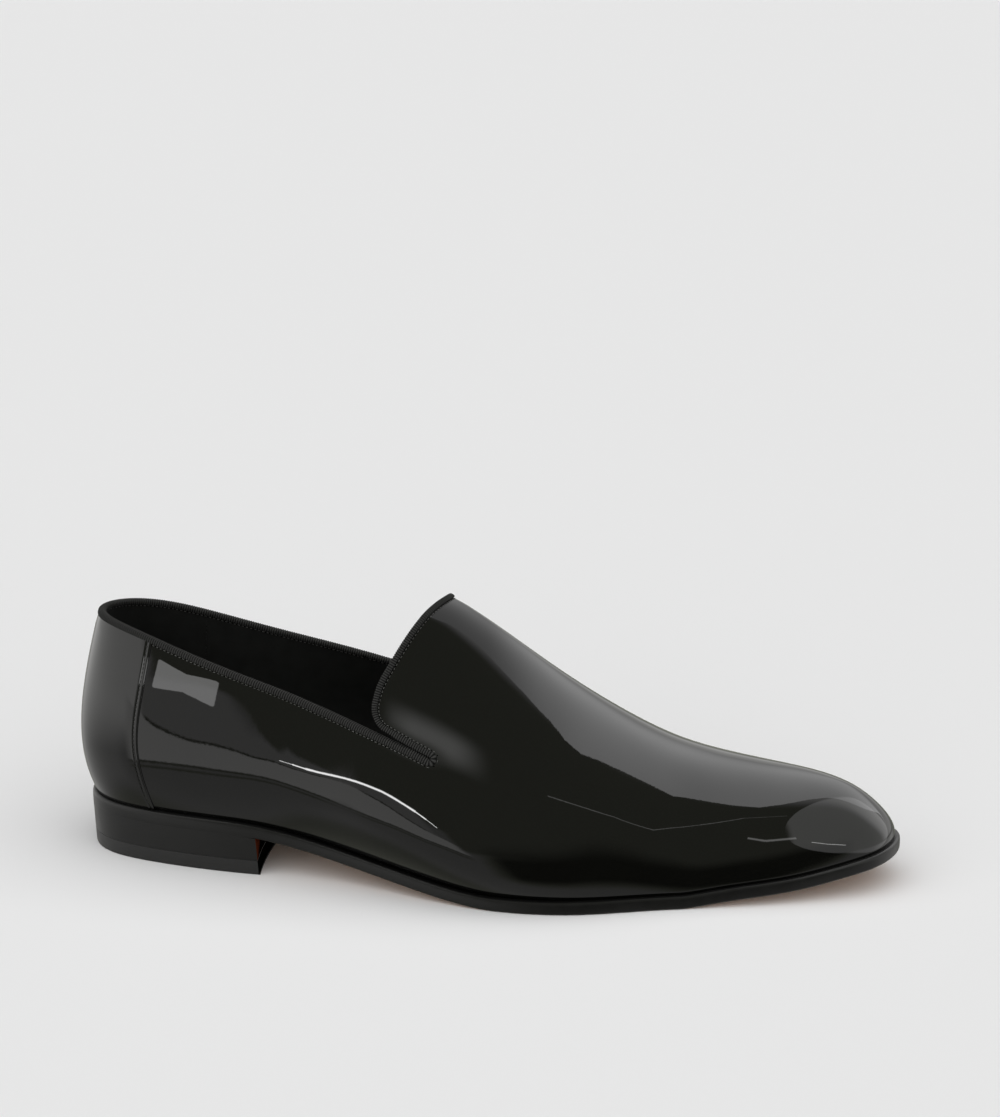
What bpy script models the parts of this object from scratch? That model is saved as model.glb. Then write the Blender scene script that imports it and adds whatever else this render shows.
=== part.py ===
"""Right-foot slip-on dress shoe in patent leather.

Outsole, stacked heel with a top piece, hollow upper, heel counter, binding and insole.
Metres, +Z up, toe towards +X, lateral side towards -Y. Tables are in millimetres along the shoe,
measured from the back of the sole (station 0) to the tip of the toe (station 1).
"""

import math
from collections import namedtuple

import bmesh
import bpy
import numpy as np
from mathutils import Matrix

MM = 0.001

# Driving dimensions, in millimetres
SOLE_LENGTH = 300.0
SOLE_THICKNESS = 4.8
SOLE_EDGE_ROUND = 0.8
SOLE_LEDGE = 1.8
SEAT_GAP = 0.3
UPPER_WALL = 1.5
INSOLE_THICKNESS = 2.4
HEEL_BREAST = 69.0
HEEL_BREAST_HOLLOW = 2.5
HEEL_BREAST_SKEW = 2.5
HEEL_TAPER = 0.8
TOP_PIECE_THICKNESS = 5.5
COUNTER_THICKNESS = 0.6
BINDING_THICKNESS = 0.45
BINDING_WIDTH = 2.1
COUNTER_MARGIN = BINDING_WIDTH + SEAT_GAP + 0.4
FLOOR_EASE = 0.6
SPINE_REAR = 30.0
SPINE_FRONT = 272.0

# Mesh steps
AROUND = 88
UP_THE_WALL = 14
HEEL_STEPS = 18
BREAST_STEPS = 8
COUNTER_ROWS = 9
COUNTER_COLUMNS = 24
EDGE_TOLERANCE = 0.1
EDGE_LONGEST = 7.0
RIDGE_MARGIN = 0.03

# Limits of the search for the counter's edges, in radians
COUNTER_FOOT = 0.012
LOWEST_TOP = 0.2
HIGHEST_TOP = 1.4
NEAREST_SEAM = 0.3
FURTHEST_SEAM = 1.6
FIRST_REACH = 1.2

Outline = namedtuple("Outline", "station lateral medial lateral_bulge medial_bulge")
OUTLINE = [
    Outline(0.035, 19.2, 19.0, 5.0, 5.0),
    Outline(0.10, 27.0, 26.5, 5.0, 4.0),
    Outline(0.20, 32.5, 28.5, 5.0, 4.5),
    Outline(0.31, 36.5, 25.5, 7.5, 12.0),
    Outline(0.42, 46.0, 23.5, 9.0, 15.5),
    Outline(0.53, 54.0, 31.0, 6.0, 11.0),
    Outline(0.63, 53.0, 44.0, 2.5, 2.0),
    Outline(0.71, 45.6, 49.5, 1.0, 0.5),
    Outline(0.79, 38.9, 47.5, 0.3, 0.0),
    Outline(0.87, 32.0, 38.0, 0.0, 0.0),
    Outline(0.93, 24.9, 27.5, 0.0, 0.0),
    Outline(0.975, 17.3, 16.5, 0.0, 0.0),
]

Profile = namedtuple("Profile", "station bottom ridge ridge_side fullness")
PROFILE = [
    Profile(0.00, 16.5, 122.0, 0.0, 2.6),
    Profile(0.12, 15.8, 124.0, -1.0, 2.6),
    Profile(0.23, 14.7, 122.0, -3.0, 2.6),
    Profile(0.32, 10.1, 115.5, -4.0, 2.5),
    Profile(0.42, 4.7, 105.5, -5.0, 2.3),
    Profile(0.50, 1.0, 91.5, -4.0, 2.1),
    Profile(0.58, -0.8, 73.5, -2.0, 2.0),
    Profile(0.66, -1.0, 57.0, 0.0, 2.0),
    Profile(0.73, -0.6, 46.0, 1.5, 2.1),
    Profile(0.80, 2.5, 40.7, 2.0, 2.2),
    Profile(0.88, 5.3, 38.1, 1.5, 2.3),
    Profile(0.95, 9.3, 33.9, 0.5, 2.3),
    Profile(1.00, 12.3, 27.0, 0.0, 2.3),
]

# Edge of the leather at the opening, seen from the side; lean is how fast it rises towards the medial side
Collar = namedtuple("Collar", "along height lean")
COLLAR = [
    Collar(-15.0, 90.6, -0.03),
    Collar(7.0, 90.3, -0.03),
    Collar(22.0, 87.5, -0.02),
    Collar(42.0, 81.8, -0.01),
    Collar(73.0, 72.5, 0.01),
    Collar(98.0, 64.8, 0.04),
    Collar(116.0, 59.7, 0.05),
    Collar(131.0, 55.0, 0.05),
    Collar(135.5, 53.25, 0.05),
]
SLIT_WIDTH = 2.0

TongueEdge = namedtuple("TongueEdge", "along height lean")
TONGUE_EDGE = [
    TongueEdge(114.3, 70.4, 0.05),
    TongueEdge(115.5, 75.3, 0.0),
    TongueEdge(118.7, 82.1, -0.065),
    TongueEdge(122.75, 90.0, -0.13),
    TongueEdge(128.0, 99.2, -0.175),
    TongueEdge(132.3, 104.8, -0.19),
    TongueEdge(136.7, 108.2, -0.195),
    TongueEdge(148.5, 112.5, -0.195),
]

# Front edge of the counter, as distance from the back of the sole at each height
CounterSeam = namedtuple("CounterSeam", "height along")
COUNTER_SEAM = [
    CounterSeam(18.0, 30.6),
    CounterSeam(28.9, 27.4),
    CounterSeam(42.0, 24.9),
    CounterSeam(56.2, 26.2),
    CounterSeam(70.0, 28.3),
    CounterSeam(90.0, 29.9),
]
LEAN_FROM = -40.0
CUTTER_SIDES = (-90.0, -50.0, -20.0, 20.0, 50.0, 90.0)


def cubic_spline(knots, values):
    """Natural cubic spline through the table's values, as a function of an array."""
    knots, values = np.asarray(knots, float), np.asarray(values, float)
    gap = np.diff(knots)
    slope = np.diff(values) / gap
    count = len(knots)
    system = np.eye(count)
    right = np.zeros(count)
    for i in range(1, count - 1):
        system[i, i - 1 : i + 2] = gap[i - 1], 2 * (gap[i - 1] + gap[i]), gap[i]
        right[i] = 6 * (slope[i] - slope[i - 1])
    bend = np.linalg.solve(system, right)

    def at(where):
        where = np.asarray(where, float)
        i = np.clip(np.searchsorted(knots, where) - 1, 0, count - 2)
        left, h = where - knots[i], gap[i]
        rest = h - left
        return (
            (bend[i] * rest**3 + bend[i + 1] * left**3) / (6 * h)
            + (values[i] / h - bend[i] * h / 6) * rest
            + (values[i + 1] / h - bend[i + 1] * h / 6) * left
        )

    return at


def turn_of(station):
    """Angle round the outline: 0 at the back of the heel, pi at the toe."""
    return math.acos(1 - 2 * station)


def round_spline(lateral, medial, at_heel, at_toe):
    """Closed spline round the outline, lateral side first, from a column for each side."""
    turns = [turn_of(row.station) for row in OUTLINE]
    knots = [0.0, *turns, math.pi, *(2 * math.pi - t for t in reversed(turns))]
    values = [at_heel, *lateral, at_toe, *reversed(medial)]
    knots = np.array(knots)
    around = np.concatenate([knots - 2 * math.pi, knots, knots + 2 * math.pi])
    return cubic_spline(around, values * 3)


side_of_outline = round_spline(
    [-row.lateral for row in OUTLINE], [row.medial for row in OUTLINE], 0.0, 0.0
)
bulge_of_wall = round_spline(
    [row.lateral_bulge for row in OUTLINE], [row.medial_bulge for row in OUTLINE], 5.0, 0.0
)


def profile_column(column):
    """Spline of one column of the profile table against the distance along the shoe."""
    return cubic_spline(
        [row.station * SOLE_LENGTH for row in PROFILE], [getattr(row, column) for row in PROFILE]
    )


bottom_height = profile_column("bottom")
ridge_height = profile_column("ridge")
ridge_side = profile_column("ridge_side")
fullness = profile_column("fullness")


def sole_bottom(along):
    """Height of the sole's underside, flat on the floor under the ball of the foot."""
    lift = np.maximum(bottom_height(along), 0.0)
    return lift**2 / (lift + FLOOR_EASE)


def sole_top(along):
    return sole_bottom(along) + SOLE_THICKNESS


def outline_point(turn, inset=0.0):
    """Plan position on the sole's outline, moved inwards by the inset."""
    turn = np.asarray(turn, float)
    along = SOLE_LENGTH / 2 * (1 - np.cos(turn))
    side = side_of_outline(turn % (2 * math.pi))
    step = 1e-3
    tangent_along = SOLE_LENGTH / 2 * np.sin(turn)
    tangent_side = (
        side_of_outline((turn + step) % (2 * math.pi))
        - side_of_outline((turn - step) % (2 * math.pi))
    ) / (2 * step)
    length = np.hypot(tangent_along, tangent_side)
    normal = np.stack([tangent_side / length, -tangent_along / length], -1)
    return np.stack([along, side], -1) - normal * np.expand_dims(inset, -1), normal


def last_surface(turn, rise, grow=0.0):
    """Outer face of the upper; turn goes round the outline, rise from 0 at the sole to pi/2 at the ridge."""
    turn, rise = np.broadcast_arrays(np.asarray(turn, float), np.asarray(rise, float))
    foot, outward = outline_point(turn, SOLE_LEDGE - grow)
    spine_along = SPINE_REAR + (SPINE_FRONT - SPINE_REAR) * (1 - np.cos(turn)) / 2
    spine = np.stack([spine_along, ridge_side(spine_along)], -1)
    power = fullness(spine_along)
    reach = (np.cos(rise).clip(0) ** power + np.sin(rise).clip(0) ** power) ** (-1 / power)
    across, up = reach * np.cos(rise).clip(0), reach * np.sin(rise)
    swell = bulge_of_wall(turn % (2 * math.pi)) * 9.48 * up * (1 - up) ** 3
    plan = spine + (foot - spine) * across[..., None] + outward * swell[..., None]
    floor = sole_top(foot[..., 0]) + SEAT_GAP
    height = floor + (ridge_height(plan[..., 0]) + grow - floor) * up
    return np.concatenate([plan, height[..., None]], -1)


def surface_normal(turn, rise):
    """Outward unit normal of the upper's outer face."""
    step = 1e-4
    rise = np.minimum(rise, math.pi / 2 - 2 * step)
    round_way = last_surface(turn + step, rise) - last_surface(turn - step, rise)
    up_way = last_surface(turn, rise + step) - last_surface(turn, rise - step)
    normal = np.cross(round_way, up_way)
    return normal / np.linalg.norm(normal, axis=-1, keepdims=True)


collar_height = cubic_spline([row.along for row in COLLAR], [row.height for row in COLLAR])
collar_lean = cubic_spline([row.along for row in COLLAR], [row.lean for row in COLLAR])
counter_front = cubic_spline([row.height for row in COUNTER_SEAM], [row.along for row in COUNTER_SEAM])


def arc(middle, start, sweep, count):
    """Points of an arc round a middle, from a start point through a signed angle."""
    angles = np.linspace(0, sweep, count)
    ray = np.subtract(start, middle)
    turned = [
        np.cos(angles) * ray[0] - np.sin(angles) * ray[1],
        np.sin(angles) * ray[0] + np.cos(angles) * ray[1],
    ]
    return np.add(middle, np.stack(turned, -1))


def thin(points, tolerance, longest):
    """Indices of the points needed to keep a polyline within the tolerance."""
    keep, first = [0], 0
    while first < len(points) - 1:
        last = first + 1
        while last < len(points) - 1:
            chord = points[last + 1] - points[first]
            length = np.linalg.norm(chord)
            between = points[first + 1 : last + 1] - points[first]
            along = between @ (chord / length)
            off = np.linalg.norm(between - np.outer(along, chord / length), axis=1).max()
            if off > tolerance or length > longest:
                break
            last += 1
        keep.append(last)
        first = last
    return keep


def opening_outline():
    """Opening from the side, as (along, height, lean): quarter line, slit, tongue corner, tongue edge."""
    along = np.linspace(-40.0, COLLAR[-1].along, 181)
    quarter = np.stack([along, collar_height(along)], -1)
    quarter_lean = collar_lean(np.maximum(along, COLLAR[0].along))
    back = quarter[-2] - quarter[-1]
    back = back / np.linalg.norm(back)
    up = np.array([back[1], -back[0]])
    tip = quarter[-1] + up * SLIT_WIDTH / 2
    tip_arc = arc(tip, quarter[-1], math.pi, 13)
    rows = np.array(TONGUE_EDGE)
    chord = np.concatenate([[0], np.cumsum(np.linalg.norm(np.diff(rows[:, :2], axis=0), axis=1))])
    steps = np.linspace(0, chord[-1], 81)
    tongue = np.stack([cubic_spline(chord, column)(steps) for column in rows.T], -1)
    rising = tongue[1, :2] - tongue[0, :2]
    rising = rising / np.linalg.norm(rising)
    reach, drop = np.linalg.solve(np.stack([back, rising], -1), tongue[0, :2] - tip_arc[-1])
    start = tip_arc[-1] + back * (reach - drop)
    bend = math.acos(back @ rising)
    radius = drop / math.tan(bend / 2)
    corner = arc(start + up * radius, start, -bend, 17)
    slit = np.concatenate([tip_arc[1:], corner[:-1]])
    slit_lean = np.full(len(slit), COLLAR[-1].lean)
    beyond = [[170.0, 150.0, 0.0], [-40.0, 150.0, 0.0]]
    return np.concatenate(
        [np.column_stack([quarter, quarter_lean]), np.column_stack([slit, slit_lean]), tongue, beyond]
    )


OPENING = opening_outline()


def opening_distance(points):
    """Signed distance from the edge of the opening seen from the side, negative in the opening."""
    points = np.atleast_2d(points)
    flat = points[:, None, [0, 2]]
    heights = OPENING[:, 1] + OPENING[:, 2] * (points[:, 1:2] - LEAN_FROM)
    start = np.stack([np.broadcast_to(OPENING[:, 0], heights.shape), heights], -1)
    way = np.roll(start, -1, axis=1) - start
    ray = flat - start
    part = np.clip((ray * way).sum(-1) / (way * way).sum(-1), 0, 1)
    distance = np.linalg.norm(ray - part[..., None] * way, axis=-1).min(1)
    crosses = (ray[..., 1] < 0) != (ray[..., 1] < way[..., 1])
    slope = np.where(way[..., 1] == 0, 1.0, way[..., 1])
    inside = (crosses & (ray[..., 0] < way[..., 0] * ray[..., 1] / slope)).sum(1) % 2 == 1
    return np.where(inside, -distance, distance)


def edge_slopes(spot):
    """Distance from the opening's edge at a (turn, rise) spot, with its slopes and the surface tangents."""
    step = 2e-4
    spots = spot + step * np.array([[0, 0], [1, 0], [-1, 0], [0, 1], [0, -1]])
    points = last_surface(spots[:, 0], spots[:, 1])
    far = opening_distance(points)
    slopes = np.array([far[1] - far[2], far[3] - far[4]]) / (2 * step)
    tangents = np.stack([points[1] - points[2], points[3] - points[4]]) / (2 * step)
    return far[0], slopes, tangents


def settle(spot):
    """Nearest (turn, rise) spot on the edge of the opening."""
    for _ in range(4):
        far, slopes, tangents = edge_slopes(spot)
        uphill = np.linalg.solve(tangents @ tangents.T, slopes)
        spot = spot - far * uphill / (slopes @ uphill)
    return spot


def half_edge(side, step=0.5):
    """Walk along the edge of the opening from the back seam to the ridge, on one side of the shoe."""
    spot = settle(np.array([0.0, 1.0]))
    path = [spot]
    while spot[1] < math.pi / 2 - RIDGE_MARGIN:
        _, slopes, tangents = edge_slopes(spot)
        way = np.array([-slopes[1], slopes[0]])
        way = way * side * step / np.linalg.norm(way @ tangents)
        spot = settle(spot + way)
        path.append(spot)
    return np.array(path)


def edge_path():
    """Closed loop of (turn, rise) spots round the opening, lateral side first."""
    lateral, medial = half_edge(1), half_edge(-1)
    return np.concatenate([lateral, medial[:0:-1]])


def edge_frames():
    """Outer and inner corners of the cut wall round the opening, with the wall normal and the way out."""
    spots = edge_path()
    outer = last_surface(spots[:, 0], spots[:, 1])
    normal = surface_normal(spots[:, 0], spots[:, 1])
    tangent = np.roll(outer, -1, axis=0) - np.roll(outer, 1, axis=0)
    out = np.cross(normal, tangent)
    out = out / np.linalg.norm(out, axis=1, keepdims=True)
    inner = outer - normal * UPPER_WALL
    for _ in range(3):
        inner = inner + out * opening_distance(inner)[:, None]
    keep = thin(outer, EDGE_TOLERANCE, EDGE_LONGEST)[:-1]
    return outer[keep], inner[keep], normal[keep], out[keep]


# Scene and materials
for old in list(bpy.data.objects):
    bpy.data.objects.remove(old, do_unlink=True)

parts = bpy.data.collections.new("slip_on_shoe")
cutters = bpy.data.collections.new("cutters")
for collection in (parts, cutters):
    bpy.context.scene.collection.children.link(collection)
cutters.hide_render = True


def material(name, colour, roughness, coat=0.0):
    made = bpy.data.materials.new(name)
    made.use_nodes = True
    shader = made.node_tree.nodes["Principled BSDF"]
    shader.inputs["Base Color"].default_value = (*colour, 1.0)
    shader.inputs["Roughness"].default_value = roughness
    shader.inputs["Coat Weight"].default_value = coat
    return made


def add_object(name, points, faces, collection, surface=None):
    """Mesh object from points in millimetres, merged, with its faces turned outwards."""
    mesh = bpy.data.meshes.new(name)
    mesh.from_pydata((np.asarray(points) * MM).tolist(), [], faces)
    shape = bmesh.new()
    shape.from_mesh(mesh)
    bmesh.ops.remove_doubles(shape, verts=shape.verts, dist=1e-6)
    bmesh.ops.recalc_face_normals(shape, faces=shape.faces)
    shape.to_mesh(mesh)
    shape.free()
    made = bpy.data.objects.new(name, mesh)
    collection.objects.link(made)
    if surface:
        mesh.materials.append(surface)
    return made


def bridge(rows, columns, first=0, closed=True):
    """Quads between neighbouring rows of a grid of points."""
    faces = []
    for row in range(rows - 1):
        for column in range(columns if closed else columns - 1):
            after = (column + 1) % columns
            low, high = first + row * columns, first + (row + 1) * columns
            faces.append((low + column, low + after, high + after, high + column))
    return faces


def zip_cap(first, count, rows):
    """Strips across a ring from its start, pairing its two sides; the rest is one face."""
    faces = [(first, first + 1, first + count - 1)]
    for i in range(1, rows):
        faces.append((first + i, first + i + 1, first + count - i - 1, first + count - i))
    rest = range(first + rows, first + count - rows + 1)
    return faces + ([tuple(rest)] if len(rest) > 2 else [])


def ring_solid(name, rings, rows, surface):
    """Closed solid through a stack of rings, capped at both ends."""
    count = len(rings[0])
    faces = bridge(len(rings), count)
    faces += zip_cap(0, count, rows) + zip_cap((len(rings) - 1) * count, count, rows)
    return add_object(name, np.concatenate(rings), faces, parts, surface)


TURNS = np.arange(AROUND) * 2 * math.pi / AROUND


# Outsole
def sole_ring(inset, lift):
    plan, _ = outline_point(TURNS, inset)
    return np.column_stack([plan, sole_bottom(plan[:, 0]) + lift])


ring_solid(
    "outsole",
    [
        sole_ring(SOLE_EDGE_ROUND, 0.0),
        sole_ring(0.0, SOLE_EDGE_ROUND),
        sole_ring(0.0, SOLE_THICKNESS - SOLE_EDGE_ROUND),
        sole_ring(SOLE_EDGE_ROUND, SOLE_THICKNESS),
    ],
    AROUND // 2 - 1,
    material("outsole_leather", (0.10, 0.055, 0.03), 0.55),
)


# Heel: side outline up to the breast, closed by the hollow breast curve
def heel_ring(inset, height):
    """Ring of the heel at a height above the floor, or against the sole when the height is None."""
    lateral_end = HEEL_BREAST + inset
    medial_end = lateral_end + HEEL_BREAST_SKEW
    lateral_turns = np.linspace(0, turn_of(lateral_end / SOLE_LENGTH), HEEL_STEPS + 1)
    medial_turns = np.linspace(0, turn_of(medial_end / SOLE_LENGTH), HEEL_STEPS + 1)
    lateral, _ = outline_point(lateral_turns, inset)
    medial, _ = outline_point(2 * math.pi - medial_turns[:0:-1], inset)
    across = np.linspace(-1, 1, BREAST_STEPS + 1)[1:-1]
    middle = (lateral[-1] + medial[0]) / 2
    half = (medial[0] - lateral[-1]) / 2
    breast = middle + across[:, None] * half
    breast[:, 0] -= HEEL_BREAST_HOLLOW * (1 - across**2)
    plan = np.concatenate([lateral, breast, medial])
    level = sole_bottom(plan[:, 0]) - SEAT_GAP if height is None else np.full(len(plan), height)
    return np.column_stack([plan, level])


split = TOP_PIECE_THICKNESS
taper = HEEL_TAPER / bottom_height(0.0)
ring_solid(
    "heel_stack",
    [heel_ring(HEEL_TAPER - taper * (split + SEAT_GAP), split + SEAT_GAP), heel_ring(0.0, None)],
    HEEL_STEPS - 2,
    material("heel_leather", (0.012, 0.012, 0.012), 0.35),
)
ring_solid(
    "heel_top_piece",
    [
        heel_ring(HEEL_TAPER + 0.4, 0.0),
        heel_ring(HEEL_TAPER, 0.4),
        heel_ring(HEEL_TAPER - taper * split, split),
    ],
    HEEL_STEPS - 2,
    material("heel_rubber", (0.015, 0.015, 0.015), 0.6),
)


# Insole
def insole_ring(inset, lift):
    plan, _ = outline_point(TURNS, SOLE_LEDGE + UPPER_WALL + 0.6 + inset)
    return np.column_stack([plan, sole_top(plan[:, 0]) + SEAT_GAP + lift])


ring_solid(
    "insole",
    [insole_ring(0.0, 0.0), insole_ring(0.0, INSOLE_THICKNESS - 0.5), insole_ring(0.5, INSOLE_THICKNESS)],
    AROUND // 2 - 1,
    material("insole_leather", (0.02, 0.02, 0.02), 0.6),
)


# Upper: two faces of the wall joined along the sole and cut by the opening
def upper_points():
    rises = (np.arange(UP_THE_WALL + 1) / UP_THE_WALL) ** 0.85 * math.pi / 2
    turns, heights = np.meshgrid(TURNS, rises)
    outer = last_surface(turns, heights)
    normal = surface_normal(turns, heights)
    mirror = -np.arange(AROUND) % AROUND
    normal[-1] = normal[-1] + normal[-1][mirror]
    normal = normal / np.linalg.norm(normal, axis=-1, keepdims=True)
    inner = outer - normal * UPPER_WALL
    inner[0, :, 2] = sole_top(inner[0, :, 0]) + SEAT_GAP
    return outer, inner


def zip_ridge(faces, last_row):
    """Faces of the top row, with the medial half of the ridge moved onto the lateral half."""
    match = {last_row + AROUND - i: last_row + i for i in range(1, AROUND // 2)}
    joined = [tuple(match.get(point, point) for point in face) for face in faces]
    return [tuple(dict.fromkeys(face)) for face in joined]


def build_upper():
    outer, inner = upper_points()
    rows, size = UP_THE_WALL + 1, (UP_THE_WALL + 1) * AROUND
    faces = zip_ridge(bridge(rows, AROUND), size - AROUND)
    faces += [face[::-1] for face in zip_ridge(bridge(rows, AROUND, size), 2 * size - AROUND)]
    for i in range(AROUND):
        after = (i + 1) % AROUND
        faces.append((i, size + i, size + after, after))
    points = np.concatenate([outer.reshape(-1, 3), inner.reshape(-1, 3)])
    upper_patent = material("upper_patent", (0.01, 0.01, 0.01), 0.08, 1.0)
    return add_object("upper", points, faces, parts, upper_patent)


def build_cutter():
    outline = OPENING[thin(OPENING[:, :2], 0.03, 5.0)]
    count = len(outline)
    points = []
    for side in CUTTER_SIDES:
        height = outline[:, 1] + outline[:, 2] * (side - LEAN_FROM)
        points.append(np.column_stack([outline[:, 0], np.full(count, side), height]))
    last = (len(CUTTER_SIDES) - 1) * count
    faces = bridge(len(CUTTER_SIDES), count)
    faces += [tuple(range(count)), tuple(range(last + count - 1, last - 1, -1))]
    made = add_object("opening_cutter", np.concatenate(points), faces, cutters)
    made.display_type = "WIRE"
    made.hide_render = True
    return made


upper = build_upper()
cut = upper.modifiers.new("opening", "BOOLEAN")
cut.operation = "DIFFERENCE"
cut.solver = "EXACT"
cut.object = build_cutter()


# Counter: thin overlay at the heel, between the sole and the binding
def solve_between(low, high, grows):
    """Bisection for arrays: where an increasing function passes zero."""
    for _ in range(40):
        middle = (low + high) / 2
        above = grows(middle) > 0
        low, high = np.where(above, low, middle), np.where(above, middle, high)
    return (low + high) / 2


def counter_top(turns):
    """Rise at which the counter ends, a margin below the binding."""

    def below_edge(rise):
        return COUNTER_MARGIN - opening_distance(last_surface(turns, rise))

    lowest, highest = np.full(len(turns), LOWEST_TOP), np.full(len(turns), HIGHEST_TOP)
    return solve_between(lowest, highest, below_edge)


def counter_reach(rises):
    """How far round from the back seam the counter's front edge lies, for rows at these rises."""

    def past_seam(turn):
        spot = last_surface(turn, rises)
        return spot[:, 0] - counter_front(spot[:, 2])

    nearest, furthest = np.full(len(rises), NEAREST_SEAM), np.full(len(rises), FURTHEST_SEAM)
    return solve_between(nearest, furthest, past_seam)


def counter_points(lift):
    """Grid of points over the heel between the two seams, raised above the upper."""
    shares = np.linspace(0, 1, COUNTER_ROWS + 1)
    across = np.linspace(-1, 1, COUNTER_COLUMNS + 1)
    reach = np.full(len(shares), FIRST_REACH)
    for _ in range(3):
        turns = across * reach[:, None]
        rises = COUNTER_FOOT + shares[:, None] * (counter_top(turns[-1]) - COUNTER_FOOT)
        reach = counter_reach(rises[:, -1])
    points = last_surface(turns, rises) + surface_normal(turns, rises) * lift
    points[..., 2] = np.maximum(points[..., 2], sole_top(points[..., 0]) + SEAT_GAP)
    return points


def build_counter():
    rows, columns = COUNTER_ROWS + 1, COUNTER_COLUMNS + 1
    size = rows * columns
    low, high = counter_points(SEAT_GAP), counter_points(SEAT_GAP + COUNTER_THICKNESS)
    faces = bridge(rows, columns, 0, False) + bridge(rows, columns, size, False)
    loop = [*range(columns), *range(2 * columns - 1, size, columns)]
    loop += [*range(size - 2, size - columns - 1, -1), *range(size - 2 * columns, 0, -columns)]
    for i, spot in enumerate(loop):
        after = loop[(i + 1) % len(loop)]
        faces.append((spot, after, size + after, size + spot))
    points = np.concatenate([low.reshape(-1, 3), high.reshape(-1, 3)])
    counter_patent = material("counter_patent", (0.01, 0.01, 0.01), 0.08, 1.0)
    return add_object("heel_counter", points, faces, parts, counter_patent)


build_counter()


# Binding: a ribbon folded over the cut edge of the upper
def build_binding():
    outer, inner, normal, out = edge_frames()
    gap, thick, leg = SEAT_GAP, SEAT_GAP + BINDING_THICKNESS, BINDING_WIDTH
    section = [
        outer + normal * gap - out * leg,
        outer + normal * gap + out * gap,
        inner - normal * gap + out * gap,
        inner - normal * gap - out * leg,
        inner - normal * thick - out * leg,
        inner - normal * thick + out * thick,
        outer + normal * thick + out * thick,
        outer + normal * thick - out * leg,
    ]
    count = len(section)
    rings = np.stack(section, 1)
    faces = bridge(len(rings), count)
    last = (len(rings) - 1) * count
    for i in range(count):
        after = (i + 1) % count
        faces.append((last + i, last + after, after, i))
    points = rings.reshape(-1, 3)
    ribbon = material("binding_ribbon", (0.02, 0.02, 0.02), 0.7)
    return add_object("collar_binding", points, faces, parts, ribbon)


build_binding()


# Origin: under the middle of the shoe, on the floor
def finished_points(node):
    mesh = node.evaluated_get(bpy.context.evaluated_depsgraph_get()).to_mesh()
    return [vertex.co[:] for vertex in mesh.vertices]


bpy.context.view_layer.update()
corners = np.concatenate([finished_points(node) for node in parts.objects])
middle = (corners.min(0) + corners.max(0)) / 2
for node in [*parts.objects, *cutters.objects]:
    node.data.transform(Matrix.Translation((-middle[0], -middle[1], -corners[:, 2].min())))
print("middle of the shoe in its tables, mm:", np.round(middle / MM, 3))
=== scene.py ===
# %% [markdown]
# # A slip-on dress shoe in patent leather
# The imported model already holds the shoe's plain solids: sole, heel, upper, counter, binding and insole.
# This lesson dresses them. Each solid is replaced by a finer piece that fills the same place, and each
# piece gets a finish built from shader nodes. Sizes of the shoe are in millimetres in the tables and in
# metres in Blender; lights and the camera are placed in metres.

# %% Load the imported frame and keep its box
import math
from collections import namedtuple

import bpy
import numpy as np
from mathutils import Matrix, Vector


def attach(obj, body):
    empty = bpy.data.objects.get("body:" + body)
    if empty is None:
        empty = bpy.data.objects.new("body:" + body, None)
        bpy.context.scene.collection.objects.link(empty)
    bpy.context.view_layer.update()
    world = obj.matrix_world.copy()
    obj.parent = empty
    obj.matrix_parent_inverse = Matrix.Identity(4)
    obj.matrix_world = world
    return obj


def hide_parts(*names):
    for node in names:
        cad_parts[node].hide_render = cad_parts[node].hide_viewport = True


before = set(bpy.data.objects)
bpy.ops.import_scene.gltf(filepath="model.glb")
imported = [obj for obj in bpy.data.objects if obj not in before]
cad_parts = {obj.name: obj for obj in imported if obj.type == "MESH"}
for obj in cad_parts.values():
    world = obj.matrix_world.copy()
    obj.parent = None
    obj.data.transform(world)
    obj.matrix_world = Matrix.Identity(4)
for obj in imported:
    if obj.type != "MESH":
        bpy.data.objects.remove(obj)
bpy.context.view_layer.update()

MM = 0.001
print("nodes:", ", ".join(sorted(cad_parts)))

# %% [markdown]
# ## Camera
# A long lens from a little above the shoe, looking at its lateral side. The eye and the point it looks at
# were found by fitting the sole's length, the heel and the toe; a long lens keeps the sides nearly parallel.

# %% Camera
CAMERA_EYE = Vector((0.16608, -1.04894, 0.42165))
CAMERA_AIM = Vector((0.00680, -0.00418, 0.11654))
CAMERA_LENS = 99.31
CAMERA_SENSOR = 36.0
CAMERA_REACH = 60.0

bpy.ops.object.select_all(action="DESELECT")
look = (CAMERA_AIM - CAMERA_EYE).to_track_quat("-Z", "Y").to_euler()
bpy.ops.object.camera_add(location=CAMERA_EYE, rotation=look)
camera = bpy.context.object
camera.name = "camera"
camera.data.lens = CAMERA_LENS
camera.data.sensor_width = CAMERA_SENSOR
camera.data.clip_end = CAMERA_REACH
bpy.context.scene.camera = camera
print("camera lens", camera.data.lens, "mm")

# %% [markdown]
# ## Floor
# A pale studio floor wide enough to fill the whole picture. It could be a curved sweep, but at this angle
# a plane has no visible horizon, and its plain tone leaves the eye on the shoe.

# %% Floor
FLOOR_SIZE = 30.0
FLOOR_TONE = 0.86
FLOOR_ROUGHNESS = 0.9

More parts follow.
